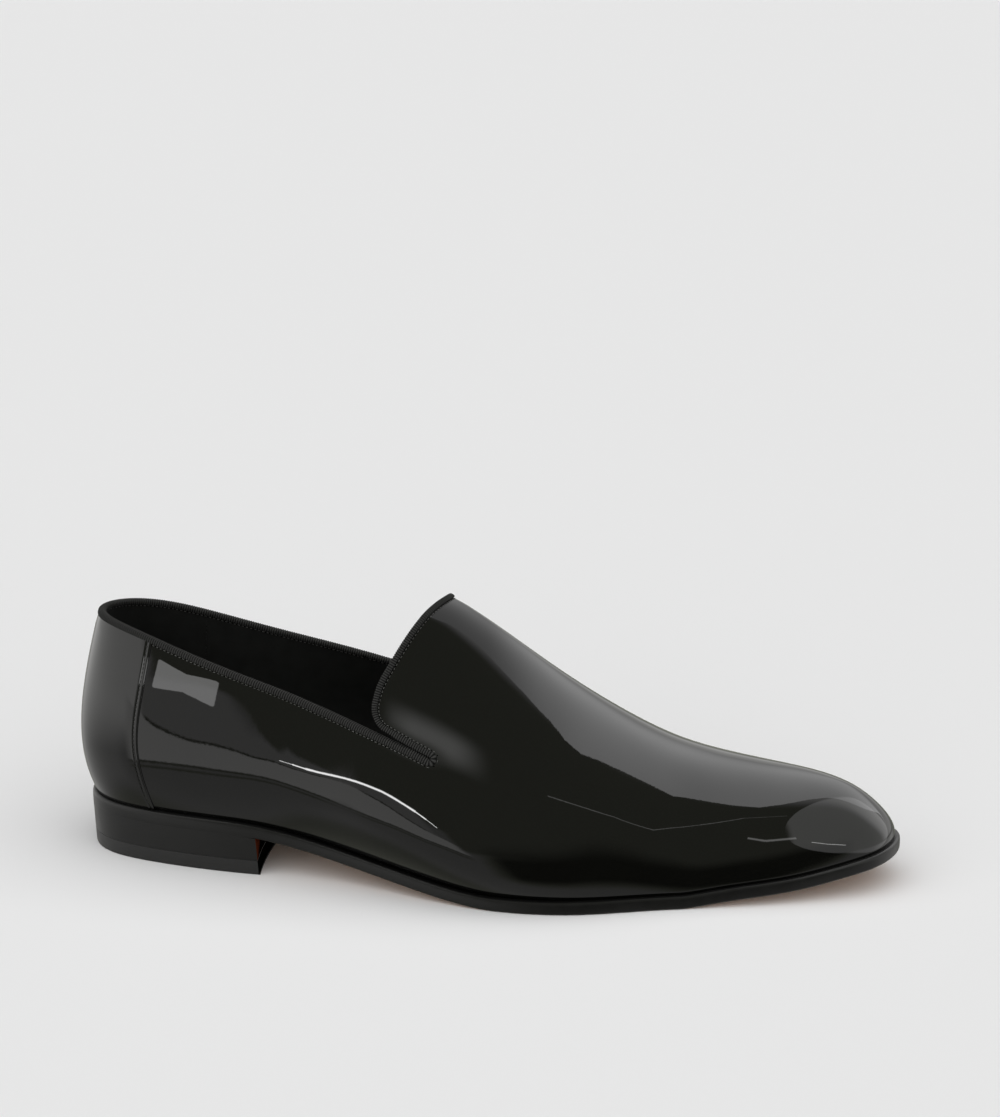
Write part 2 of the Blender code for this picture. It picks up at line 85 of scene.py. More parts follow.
bpy.ops.object.select_all(action="DESELECT")
bpy.ops.mesh.primitive_plane_add(size=FLOOR_SIZE)
floor = bpy.context.object
floor.name = "floor"
floor_paper = bpy.data.materials.new("floor_paper")
floor_paper.use_nodes = True
floor_shader = floor_paper.node_tree.nodes["Principled BSDF"]
floor_shader.inputs["Base Color"].default_value = (FLOOR_TONE, FLOOR_TONE, FLOOR_TONE, 1.0)
floor_shader.inputs["Roughness"].default_value = FLOOR_ROUGHNESS
floor_shader.inputs["Specular IOR Level"].default_value = 0.0
floor.data.materials.append(floor_paper)
print("floor", FLOOR_SIZE, "m wide")

# %% [markdown]
# ## Light
# Patent leather is a black mirror, so the light is really a set of shapes that the shoe reflects: a bright
# sheet behind and above, a dark room on the camera's side, and large soft panels to the left and right.
# Lamps would do, but a world painted in layers by direction keeps every shape in one short list. Each layer
# is a patch of sky with straight edges: a bearing is measured from the camera's side, positive to the right.

# %% Light
Edge = namedtuple("Edge", "normal offset soft")
Layer = namedtuple("Layer", "brightness edges")


def right_of(bearing, soft=2.0):
    """Edge of the sky to the right of a bearing."""
    angle = math.radians(bearing)
    return Edge((math.cos(angle), math.sin(angle), 0.0), 0.0, math.sin(math.radians(soft)))


def left_of(bearing, soft=2.0):
    """Edge of the sky to the left of a bearing."""
    angle = math.radians(bearing)
    return Edge((-math.cos(angle), -math.sin(angle), 0.0), 0.0, math.sin(math.radians(soft)))


def above(elevation, soft=2.0):
    return Edge((0.0, 0.0, 1.0), math.sin(math.radians(elevation)), math.sin(math.radians(soft)))


def below(elevation, soft=2.0):
    return Edge((0.0, 0.0, -1.0), -math.sin(math.radians(elevation)), math.sin(math.radians(soft)))


def toward(bearing, elevation):
    """Unit vector towards a bearing and an elevation."""
    side, up = math.radians(bearing), math.radians(elevation)
    return Vector((math.sin(side) * math.cos(up), -math.cos(side) * math.cos(up), math.sin(up)))


def over_line(left, right, soft=2.0, lift=0.0):
    """Edge of the sky over a slanting line between two (bearing, elevation) pairs, lifted by some degrees."""
    normal = toward(*left).cross(toward(*right)).normalized()
    normal = normal if normal.z > 0 else -normal
    return Edge(tuple(normal), math.sin(math.radians(lift)), math.sin(math.radians(soft)))


def under_line(left, right, soft=2.0, lift=0.0):
    """Edge of the sky under a slanting line between two (bearing, elevation) pairs."""
    edge = over_line(left, right, soft, lift)
    return Edge(tuple(-part for part in edge.normal), -edge.offset, edge.soft)


ROOM_GLOW = 0.23
QUARTER = [right_of(-52.0, 3.0), left_of(-18.0, 2.0)]
STRIP_TOP = ((-41.0, -6.8), (-31.0, -11.6))
SHADE_TOP = ((-5.0, -13.0), (39.0, 15.0))
DARK_TOP = ((0.0, -7.0), (35.0, 15.0))
DARK_LOW = ((0.0, -45.0), (38.0, -22.0))
SKY = [
    Layer(0.45, [below(-5.0, 3.0)]),
    Layer(0.62, [right_of(-150.0, 20.0), left_of(-58.0, 6.0), below(-5.0, 4.0), above(-38.0, 10.0)]),
    Layer(0.28, [right_of(-150.0, 20.0), left_of(-60.0, 8.0), below(-44.0, 8.0)]),
    Layer(1.45, [right_of(-150.0, 25.0), left_of(-44.0, 3.0), above(-13.0, 9.0)]),
    Layer(1.15, [*QUARTER, above(-23.5, 0.6), under_line(*STRIP_TOP, 0.6)]),
    Layer(0.20, [*QUARTER, above(-24.7, 0.4), below(-23.5, 0.4)]),
    Layer(0.25, [*QUARTER, above(-27.6, 0.5), below(-26.2, 0.5)]),
    Layer(0.62, [right_of(-44.0, 2.0), left_of(-25.0, 2.0), over_line(*STRIP_TOP, 0.5), below(3.5, 1.0)]),
    Layer(0.12, [right_of(-43.0, 1.0), left_of(-27.0, 2.0), over_line(*STRIP_TOP, 0.4, -0.4),
                 under_line(*STRIP_TOP, 0.4, 0.6)]),
    Layer(ROOM_GLOW, [right_of(-19.0, 2.0), left_of(40.0, 2.0), below(1.0, 1.0), over_line(*SHADE_TOP, 2.0)]),
    Layer(0.05, [right_of(-8.0, 8.0), left_of(46.0, 6.0), under_line(*DARK_TOP, 8.0),
                 over_line(*DARK_LOW, 8.0)]),
    Layer(0.60, [right_of(48.0, 12.0), left_of(178.0), below(-6.0, 2.0)]),
    Layer(1.00, [right_of(85.0, 15.0), left_of(178.0), below(-6.0, 2.0)]),
    Layer(1.20, [right_of(110.0, 10.0), left_of(-110.0, 20.0), above(-3.0, 2.0)]),
    Layer(0.30, [right_of(145.0, 12.0), left_of(-145.0, 12.0), below(0.0, 6.0)]),
    Layer(0.70, [right_of(145.0, 12.0), left_of(-145.0, 12.0), above(0.0, 6.0)]),
]
ROOM_TINT = (1.0, 1.03, 0.84, 1.0)
LAMP_TINT = (1.0, 0.995, 0.975, 1.0)

world = bpy.data.worlds.new("studio")
bpy.context.scene.world = world
world.use_nodes = True
light_nodes = world.node_tree.nodes
light_links = world.node_tree.links
ray_way = light_nodes.new("ShaderNodeTexCoord").outputs["Generated"]


def edge_mask(edge):
    """One on the far side of the edge, zero on the near side, with a soft step between."""
    facing = light_nodes.new("ShaderNodeVectorMath")
    facing.operation = "DOT_PRODUCT"
    light_links.new(ray_way, facing.inputs[0])
    facing.inputs[1].default_value = edge.normal
    step = light_nodes.new("ShaderNodeMapRange")
    step.interpolation_type = "SMOOTHSTEP"
    light_links.new(facing.outputs["Value"], step.inputs["Value"])
    step.inputs["From Min"].default_value = edge.offset - edge.soft
    step.inputs["From Max"].default_value = edge.offset + edge.soft
    return step.outputs["Result"]


def paint_layer(under, layer):
    """Paint one layer of brightness over what is under it."""
    mask = edge_mask(layer.edges[0])
    for edge in layer.edges[1:]:
        both = light_nodes.new("ShaderNodeMath")
        both.operation = "MULTIPLY"
        light_links.new(mask, both.inputs[0])
        light_links.new(edge_mask(edge), both.inputs[1])
        mask = both.outputs["Value"]
    paint = light_nodes.new("ShaderNodeMix")
    light_links.new(mask, paint.inputs["Factor"])
    light_links.new(under, paint.inputs["A"])
    paint.inputs["B"].default_value = layer.brightness
    return paint.outputs["Result"]


room = light_nodes.new("ShaderNodeValue")
room.outputs["Value"].default_value = ROOM_GLOW
sky = room.outputs["Value"]
for layer in SKY:
    sky = paint_layer(sky, layer)
light_links.new(sky, light_nodes["Background"].inputs["Strength"])
lamp_share = light_nodes.new("ShaderNodeMapRange")
lamp_share.inputs["From Min"].default_value = ROOM_GLOW
lamp_share.inputs["From Max"].default_value = 2 * ROOM_GLOW
light_links.new(sky, lamp_share.inputs["Value"])
light_tint = light_nodes.new("ShaderNodeMix")
light_tint.data_type = "RGBA"
light_links.new(lamp_share.outputs["Result"], light_tint.inputs["Factor"])
light_tint.inputs["A"].default_value = ROOM_TINT
light_tint.inputs["B"].default_value = LAMP_TINT
light_links.new(light_tint.outputs["Result"], light_nodes["Background"].inputs["Color"])
world.cycles_visibility.diffuse = False
floor.visible_glossy = False
bpy.context.scene.view_settings.view_transform = "Standard"
print(len(SKY), "layers of sky")

# %% [markdown]
# One board stands closer in, as in a studio: it hangs over the shoe, and its front edge draws the bright band
# along the ridge. It only shows in gloss. A wide, soft sun over the camera's shoulder lights the floor, so
# the shoe keeps a small, soft shadow.

# %% Smooth curve through a row of values
def cubic_spline(knots, values):
    """Natural cubic spline through the table's values, as a function of an array."""
    knots, values = np.asarray(knots, float), np.asarray(values, float)
    gap = np.diff(knots)
    slope = np.diff(values) / gap
    count = len(knots)
    system = np.eye(count)
    right = np.zeros(count)
    for i in range(1, count - 1):
        system[i, i - 1 : i + 2] = gap[i - 1], 2 * (gap[i - 1] + gap[i]), gap[i]
        right[i] = 6 * (slope[i] - slope[i - 1])
    bend = np.linalg.solve(system, right)

    def at(where):
        where = np.asarray(where, float)
        i = np.clip(np.searchsorted(knots, where) - 1, 0, count - 2)
        left, h = where - knots[i], gap[i]
        rest = h - left
        return (
            (bend[i] * rest**3 + bend[i + 1] * left**3) / (6 * h)
            + (values[i] / h - bend[i] * h / 6) * rest
            + (values[i + 1] / h - bend[i + 1] * h / 6) * left
        )

    return at


print("a smooth curve at 0.5:", float(cubic_spline([0.0, 1.0, 2.0], [0.0, 1.0, 0.0])(0.5)))

# %% Board over the ridge
OVER_HEIGHT = 0.15
OVER_BACK = 0.5
OVER_FRONT = [
    (-0.40, -0.030), (-0.02, -0.018), (0.01, -0.011), (0.04, 0.004), (0.08, 0.001),
    (0.10, -0.006), (0.12, -0.026), (0.134, -0.012), (0.145, 0.008), (0.155, 0.022),
    (0.165, 0.031), (0.185, 0.042), (0.22, 0.066), (0.285, 0.14), (0.43, 0.40), (0.60, 0.48),
]
OVER_STEPS = 81
OVER_GLOW = (1.75, 0.60)
OVER_GAIN = (0.56, 1.28)
OVER_GAIN_FROM = 0.45
OVER_GAIN_TO = 0.53


def ramp(tree, value, start, end, low, high):
    """Smooth step of a value from one level to another."""
    step = tree.nodes.new("ShaderNodeMapRange")
    step.interpolation_type = "SMOOTHSTEP"
    tree.links.new(value, step.inputs["Value"])
    for socket, amount in zip(list(step.inputs)[1:5], (start, end, low, high)):
        socket.default_value = amount
    return step.outputs["Result"]


def combine(tree, operation, first, second):
    """Math of a value with a second value or a number."""
    joined = tree.nodes.new("ShaderNodeMath")
    joined.operation = operation
    tree.links.new(first, joined.inputs[0])
    if isinstance(second, float):
        joined.inputs[1].default_value = second
    else:
        tree.links.new(second, joined.inputs[1])
    return joined.outputs["Value"]


def sheet_ways(tree):
    """The two directions on a sheet or a lamp, each from 0 to 1."""
    ways = tree.nodes.new("ShaderNodeSeparateXYZ")
    tree.links.new(tree.nodes.new("ShaderNodeTexCoord").outputs["UV"], ways.inputs["Vector"])
    return ways.outputs["X"], ways.outputs["Y"]


over_x = np.linspace(OVER_FRONT[0][0], OVER_FRONT[-1][0], OVER_STEPS)
over_y = cubic_spline([x for x, _ in OVER_FRONT], [y for _, y in OVER_FRONT])(over_x)
bpy.ops.object.select_all(action="DESELECT")
bpy.ops.mesh.primitive_grid_add(x_subdivisions=OVER_STEPS - 1, y_subdivisions=1, size=2.0)
board = bpy.context.object
board.name = "board_over"
front_row = [(x, y, OVER_HEIGHT) for x, y in zip(over_x, over_y)]
back_row = [(x, OVER_BACK, OVER_HEIGHT) for x in over_x]
for vertex, place in zip(board.data.vertices, front_row + back_row):
    vertex.co = place
board.visible_camera = board.visible_diffuse = board.visible_shadow = False
board_paint = bpy.data.materials.new("board_paint")
board_paint.use_nodes = True
board_tree = board_paint.node_tree
board_tree.nodes.remove(board_tree.nodes["Principled BSDF"])
board_x, board_y = sheet_ways(board_tree)
board_glow = board_tree.nodes.new("ShaderNodeEmission")
board_tree.links.new(
    combine(
        board_tree, "MULTIPLY", ramp(board_tree, board_y, 0.0, 1.0, *OVER_GLOW),
        ramp(board_tree, board_x, OVER_GAIN_FROM, OVER_GAIN_TO, *OVER_GAIN),
    ),
    board_glow.inputs["Strength"],
)
board_tree.links.new(board_glow.outputs["Emission"], board_tree.nodes["Material Output"].inputs["Surface"])
board.data.materials.append(board_paint)
print("board over the shoe,", OVER_BACK, "m deep")

# %% Soft sun
SUN_FROM = Vector((0.05, -0.45, 0.90))
SUN_POWER = 3.25
SUN_SPREAD = 125.0

bpy.ops.object.select_all(action="DESELECT")
bpy.ops.object.light_add(type="SUN", rotation=SUN_FROM.to_track_quat("Z", "Y").to_euler())
sun = bpy.context.object
sun.name = "soft_sun"
sun.data.energy = SUN_POWER
sun.data.angle = math.radians(SUN_SPREAD)
sun.visible_glossy = False
print("soft sun", SUN_SPREAD, "degrees wide")

# %% [markdown]
# ## The last
# A shoe takes its shape from the last it was pulled over. The tables give that last: the outline of the
# sole on each side, the bottom and the ridge seen from the side, and how full the sections are. They are
# the same tables that the solids were made from, so a finer surface made here lies exactly on them.

# %% Tables of the last
SOLE_LENGTH = 300.0
SOLE_THICKNESS = 4.8
SOLE_LEDGE = 1.8
SEAT_GAP = 0.3
UPPER_WALL = 1.5
FLOOR_EASE = 0.6
SPINE_REAR = 30.0
SPINE_FRONT = 272.0
MIDDLE = np.array([148.082, -3.691, 0.0])

Outline = namedtuple("Outline", "station lateral medial lateral_bulge medial_bulge")
OUTLINE = [
    Outline(0.035, 19.2, 19.0, 5.0, 5.0),
    Outline(0.10, 27.0, 26.5, 5.0, 4.0),
    Outline(0.20, 32.5, 28.5, 5.0, 4.5),
    Outline(0.31, 36.5, 25.5, 7.5, 12.0),
    Outline(0.42, 46.0, 23.5, 9.0, 15.5),
    Outline(0.53, 54.0, 31.0, 6.0, 11.0),
    Outline(0.63, 53.0, 44.0, 2.5, 2.0),
    Outline(0.71, 45.6, 49.5, 1.0, 0.5),
    Outline(0.79, 38.9, 47.5, 0.3, 0.0),
    Outline(0.87, 32.0, 38.0, 0.0, 0.0),
    Outline(0.93, 24.9, 27.5, 0.0, 0.0),
    Outline(0.975, 17.3, 16.5, 0.0, 0.0),
]

Profile = namedtuple("Profile", "station bottom ridge ridge_side fullness")
PROFILE = [
    Profile(0.00, 16.5, 122.0, 0.0, 2.6),
    Profile(0.12, 15.8, 124.0, -1.0, 2.6),
    Profile(0.23, 14.7, 122.0, -3.0, 2.6),
    Profile(0.32, 10.1, 115.5, -4.0, 2.5),
    Profile(0.42, 4.7, 105.5, -5.0, 2.3),
    Profile(0.50, 1.0, 91.5, -4.0, 2.1),
    Profile(0.58, -0.8, 73.5, -2.0, 2.0),
    Profile(0.66, -1.0, 57.0, 0.0, 2.0),
    Profile(0.73, -0.6, 46.0, 1.5, 2.1),
    Profile(0.80, 2.5, 40.7, 2.0, 2.2),
    Profile(0.88, 5.3, 38.1, 1.5, 2.3),
    Profile(0.95, 9.3, 33.9, 0.5, 2.3),
    Profile(1.00, 12.3, 27.0, 0.0, 2.3),
]
print("sole", SOLE_LENGTH, "mm long,", len(OUTLINE), "outline stations")

# %% Smooth curves through the tables
def turn_of(station):
    """Angle round the outline: 0 at the back of the heel, pi at the toe."""
    return math.acos(1 - 2 * station)


def round_spline(lateral, medial, at_heel, at_toe):
    """Closed spline round the outline, lateral side first, from a column for each side."""
    turns = [turn_of(row.station) for row in OUTLINE]
    knots = np.array([0.0, *turns, math.pi, *(2 * math.pi - t for t in reversed(turns))])
    values = [at_heel, *lateral, at_toe, *reversed(medial)]
    around = np.concatenate([knots - 2 * math.pi, knots, knots + 2 * math.pi])
    return cubic_spline(around, values * 3)


def profile_column(column):
    """Spline of one column of the profile table against the distance along the shoe."""
    return cubic_spline(
        [row.station * SOLE_LENGTH for row in PROFILE], [getattr(row, column) for row in PROFILE]
    )


side_of_outline = round_spline(
    [-row.lateral for row in OUTLINE], [row.medial for row in OUTLINE], 0.0, 0.0
)
bulge_of_wall = round_spline(
    [row.lateral_bulge for row in OUTLINE], [row.medial_bulge for row in OUTLINE], 5.0, 0.0
)
bottom_height = profile_column("bottom")
ridge_height = profile_column("ridge")
ridge_side = profile_column("ridge_side")
fullness = profile_column("fullness")
print("highest point of the last:", round(float(ridge_height(36.0)), 1), "mm")

# %% Surface of the last
def sole_bottom(along):
    """Height of the sole's underside, flat on the floor under the ball of the foot."""
    lift = np.maximum(bottom_height(along), 0.0)
    return lift**2 / (lift + FLOOR_EASE)


def sole_top(along):
    return sole_bottom(along) + SOLE_THICKNESS


def outline_point(turn, inset=0.0):
    """Plan position on the sole's outline, moved inwards by the inset, and the outward normal."""
    turn = np.asarray(turn, float)
    along = SOLE_LENGTH / 2 * (1 - np.cos(turn))
    side = side_of_outline(turn % (2 * math.pi))
    step = 1e-3
    tangent_along = SOLE_LENGTH / 2 * np.sin(turn)
    tangent_side = (
        side_of_outline((turn + step) % (2 * math.pi))
        - side_of_outline((turn - step) % (2 * math.pi))
    ) / (2 * step)
    length = np.hypot(tangent_along, tangent_side)
    normal = np.stack([tangent_side / length, -tangent_along / length], -1)
    return np.stack([along, side], -1) - normal * np.expand_dims(inset, -1), normal


BULGE_SCALE = 9.48  # the table's bulge is then the furthest swell of the wall


def last_surface(turn, rise):
    """Outer face of the upper: turn goes round the outline, rise from 0 at the sole to pi/2 at the ridge."""
    turn, rise = np.broadcast_arrays(np.asarray(turn, float), np.asarray(rise, float))
    foot, outward = outline_point(turn, SOLE_LEDGE)
    spine_along = SPINE_REAR + (SPINE_FRONT - SPINE_REAR) * (1 - np.cos(turn)) / 2
    spine = np.stack([spine_along, ridge_side(spine_along)], -1)
    power = fullness(spine_along)
    reach = (np.cos(rise).clip(0) ** power + np.sin(rise).clip(0) ** power) ** (-1 / power)
    across, up = reach * np.cos(rise).clip(0), reach * np.sin(rise)
    swell = bulge_of_wall(turn % (2 * math.pi)) * BULGE_SCALE * up * (1 - up) ** 3
    plan = spine + (foot - spine) * across[..., None] + outward * swell[..., None]
    floor_height = sole_top(foot[..., 0]) + SEAT_GAP
    height = floor_height + (ridge_height(plan[..., 0]) - floor_height) * up
    return np.concatenate([plan, height[..., None]], -1)


def unit(vectors):
    """The same directions with a length of one."""
    return vectors / np.linalg.norm(vectors, axis=-1, keepdims=True)


def surface_normal(turn, rise):
    """Outward unit normal of the upper's outer face."""
    step = 1e-4
    rise = np.minimum(rise, math.pi / 2 - 2 * step)
    round_way = last_surface(turn + step, rise) - last_surface(turn - step, rise)
    up_way = last_surface(turn, rise + step) - last_surface(turn, rise - step)
    return unit(np.cross(round_way, up_way))


print("ball of the foot:", np.round(last_surface(turn_of(0.63), 0.3), 1), "mm")

# %% [markdown]
# ## The opening
# The foot goes in through one opening: the quarter's top line runs forward into a short slit, turns round
# the tongue's corner and climbs the tongue. Drawn from the side it is one closed outline. A lean at each
# point tips it towards the inner side of the foot, because a shoe's top line isn't level across.

# %% Outline of the opening
Collar = namedtuple("Collar", "along height lean")
COLLAR = [
    Collar(-15.0, 90.6, -0.03),
    Collar(7.0, 90.3, -0.03),
    Collar(22.0, 87.5, -0.02),
    Collar(42.0, 81.8, -0.01),
    Collar(73.0, 72.5, 0.01),
    Collar(98.0, 64.8, 0.04),
    Collar(116.0, 59.7, 0.05),
    Collar(131.0, 55.0, 0.05),
    Collar(135.5, 53.25, 0.05),
]
TongueEdge = namedtuple("TongueEdge", "along height lean")
TONGUE_EDGE = [
    TongueEdge(114.3, 70.4, 0.05),
    TongueEdge(115.5, 75.3, 0.0),
    TongueEdge(118.7, 82.1, -0.065),
    TongueEdge(122.75, 90.0, -0.13),
    TongueEdge(128.0, 99.2, -0.175),
    TongueEdge(132.3, 104.8, -0.19),
    TongueEdge(136.7, 108.2, -0.195),
    TongueEdge(148.5, 112.5, -0.195),
]
SLIT_WIDTH = 2.0
LEAN_FROM = -40.0
BEHIND_HEEL = -40.0
PAST_TONGUE = 170.0
OVER_SHOE = 150.0
QUARTER_STEPS = 181
TIP_STEPS = 13
CORNER_STEPS = 17
TONGUE_STEPS = 81
CUTTER_SIDES = (-90.0, -50.0, -20.0, 20.0, 50.0, 90.0)

collar_height = cubic_spline([row.along for row in COLLAR], [row.height for row in COLLAR])
collar_lean = cubic_spline([row.along for row in COLLAR], [row.lean for row in COLLAR])


def arc(middle, start, sweep, count):
    """Points of an arc round a middle, from a start point through a signed angle."""
    angles = np.linspace(0, sweep, count)
    ray = np.subtract(start, middle)
    turned = [
        np.cos(angles) * ray[0] - np.sin(angles) * ray[1],
        np.sin(angles) * ray[0] + np.cos(angles) * ray[1],
    ]
    return np.add(middle, np.stack(turned, -1))


def path_length(points):
    """Distance along a path at each of its points."""
    return np.concatenate([[0], np.cumsum(np.linalg.norm(np.diff(points, axis=0), axis=1))])


def smooth_path(rows, count):
    """Smooth curve through rows of values, at even steps along their first two columns."""
    rows = np.array(rows, float)
    chord = path_length(rows[:, :2])
    steps = np.linspace(0, chord[-1], count)
    return np.stack([cubic_spline(chord, column)(steps) for column in rows.T], -1)


def opening_outline():
    """Opening seen from the side, as (along, height, lean): quarter line, slit, corner and tongue edge."""
    along = np.linspace(BEHIND_HEEL, COLLAR[-1].along, QUARTER_STEPS)
    quarter = np.stack([along, collar_height(along)], -1)
    quarter_lean = collar_lean(np.maximum(along, COLLAR[0].along))
    back = quarter[-2] - quarter[-1]
    back = back / np.linalg.norm(back)
    up = np.array([back[1], -back[0]])
    tip = quarter[-1] + up * SLIT_WIDTH / 2
    tip_arc = arc(tip, quarter[-1], math.pi, TIP_STEPS)
    tongue = smooth_path(TONGUE_EDGE, TONGUE_STEPS)
    rising = tongue[1, :2] - tongue[0, :2]
    rising = rising / np.linalg.norm(rising)
    reach, drop = np.linalg.solve(np.stack([back, rising], -1), tongue[0, :2] - tip_arc[-1])
    start = tip_arc[-1] + back * (reach - drop)
    bend = math.acos(back @ rising)
    radius = drop / math.tan(bend / 2)
    corner = arc(start + up * radius, start, -bend, CORNER_STEPS)
    slit = np.concatenate([tip_arc[1:], corner[:-1]])
    slit_lean = np.full(len(slit), COLLAR[-1].lean)
    beyond = [[PAST_TONGUE, OVER_SHOE, 0.0], [BEHIND_HEEL, OVER_SHOE, 0.0]]
    return np.concatenate(
        [np.column_stack([quarter, quarter_lean]), np.column_stack([slit, slit_lean]), tongue, beyond]
    )


OPENING = opening_outline()
print("opening drawn with", len(OPENING), "points")

# %% Edge of the leather round the opening
RIDGE_MARGIN = 0.03


def opening_distance(points):
    """Signed distance from the edge of the opening seen from the side, negative in the opening."""
    points = np.atleast_2d(points)
    flat = points[:, None, [0, 2]]
    heights = OPENING[:, 1] + OPENING[:, 2] * (points[:, 1:2] - LEAN_FROM)
    start = np.stack([np.broadcast_to(OPENING[:, 0], heights.shape), heights], -1)
    way = np.roll(start, -1, axis=1) - start
    ray = flat - start
    part = np.clip((ray * way).sum(-1) / (way * way).sum(-1), 0, 1)
    distance = np.linalg.norm(ray - part[..., None] * way, axis=-1).min(1)
    crosses = (ray[..., 1] < 0) != (ray[..., 1] < way[..., 1])
    slope = np.where(way[..., 1] == 0, 1.0, way[..., 1])
    inside = (crosses & (ray[..., 0] < way[..., 0] * ray[..., 1] / slope)).sum(1) % 2 == 1
    return np.where(inside, -distance, distance)


def edge_slopes(spot):
    """Distance from the opening's edge at a (turn, rise) spot, with its slopes and the surface tangents."""
    step = 2e-4
    spots = spot + step * np.array([[0, 0], [1, 0], [-1, 0], [0, 1], [0, -1]])
    points = last_surface(spots[:, 0], spots[:, 1])
    far = opening_distance(points)
    slopes = np.array([far[1] - far[2], far[3] - far[4]]) / (2 * step)
    tangents = np.stack([points[1] - points[2], points[3] - points[4]]) / (2 * step)
    return far[0], slopes, tangents


def settle(spot):
    """Nearest (turn, rise) spot on the edge of the opening."""
    for _ in range(4):
        far, slopes, tangents = edge_slopes(spot)
        uphill = np.linalg.solve(tangents @ tangents.T, slopes)
        spot = spot - far * uphill / (slopes @ uphill)
    return spot


def half_edge(side, step=0.5):
    """Walk along the edge of the opening from the back seam to the ridge, on one side of the shoe."""
    spot = settle(np.array([0.0, 1.0]))
    path = [spot]
    while spot[1] < math.pi / 2 - RIDGE_MARGIN:
        _, slopes, tangents = edge_slopes(spot)
        way = np.array([-slopes[1], slopes[0]])
        way = way * side * step / np.linalg.norm(way @ tangents)
        spot = settle(spot + way)
        path.append(spot)
    return np.array(path)


lateral_edge, medial_edge = half_edge(1), half_edge(-1)
edge_spots = np.concatenate([lateral_edge, medial_edge[:0:-1]])
print("edge of the opening followed in", len(edge_spots), "steps")

# %% [markdown]
# ## Shaping tools
# Every shell of a shoe is a sheet bent round a form. A grid primitive is that sheet: its corners are moved
# onto rows of points, and where the sheet meets itself the double corners are merged in edit mode. Sculpting
# would give a softer start, but the last already says where every point of the leather lies.

# %% Shaping tools
MERGE = 3e-6


def bent_grid(name, points):
    """A grid primitive whose corners are moved onto rows of points, given in the tables' millimetres."""
    rows, columns = points.shape[:2]
    bpy.ops.object.select_all(action="DESELECT")
    bpy.ops.mesh.primitive_grid_add(x_subdivisions=columns - 1, y_subdivisions=rows - 1, size=2.0)
    piece = bpy.context.object
    piece.name = piece.data.name = name
    piece.data.vertices.foreach_set("co", ((points.reshape(-1, 3) - MIDDLE) * MM).ravel())
    bpy.ops.object.mode_set(mode="EDIT")
    bpy.ops.mesh.select_all(action="SELECT")
    bpy.ops.mesh.remove_doubles(threshold=MERGE)
    bpy.ops.object.mode_set(mode="OBJECT")
    return piece


def make_active(piece):
    """Select this piece alone, so that the next tool works on it."""
    bpy.ops.object.select_all(action="DESELECT")
    piece.select_set(True)
    bpy.context.view_layer.objects.active = piece


def normals_out(piece):
    """Turn all faces of a closed piece outwards."""
    make_active(piece)
    bpy.ops.object.mode_set(mode="EDIT")
    bpy.ops.mesh.select_all(action="SELECT")
    bpy.ops.mesh.normals_make_consistent(inside=False)
    bpy.ops.object.mode_set(mode="OBJECT")


def apply_modifier(piece, kind, **settings):
    """Add a modifier to the piece with its settings, and apply it."""
    make_active(piece)
    bpy.ops.object.modifier_add(type=kind)
    modifier = piece.modifiers[-1]
    for name, value in settings.items():
        setattr(modifier, name, value)
    bpy.ops.object.modifier_apply(modifier=modifier.name)


def finish_piece(piece, slot, *surfaces, nodes=(), angle=30.0):
    """Smooth the piece, give it its finishes, hang it on the root body and hide the imported parts it
    replaces.
    """
    make_active(piece)
    bpy.ops.object.shade_smooth_by_angle(angle=math.radians(angle))
    for surface in surfaces:
        piece.data.materials.append(surface)
    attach(piece, "root")
    if nodes:
        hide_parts(*nodes)
    print(piece.name, len(piece.data.polygons), "faces")


def wall_grid(columns, rows, crowd):
    """Points and normals over the whole last; rows crowd towards the sole."""
    turns = np.linspace(0, 2 * math.pi, columns + 1)
    rises = np.linspace(0, 1, rows + 1) ** crowd * math.pi / 2
    turns, rises = np.meshgrid(turns, rises)
    normal = surface_normal(turns, rises)
    normal[-1] = normal[-1] + normal[-1][::-1]
    return last_surface(turns, rises), unit(normal)


print("merge distance", MERGE, "m")

# %% [markdown]
# ## Finishes
# Patent leather is smooth black leather under a thick clear lacquer, so it is a dark satin base with a
# glossy coat; only a shallow waviness in the coat breaks its reflections. The ribbon, the lining, the inked
# sole edge and the tan underside are dull by comparison. Each finish reads Object coordinates, so the grain
# stays at its true size on every piece.

# %% Finishes
WAVE_SIZE = 18.0
WAVE_DEPTH = 0.22
CLOUDS_PER_GRAIN = 0.12


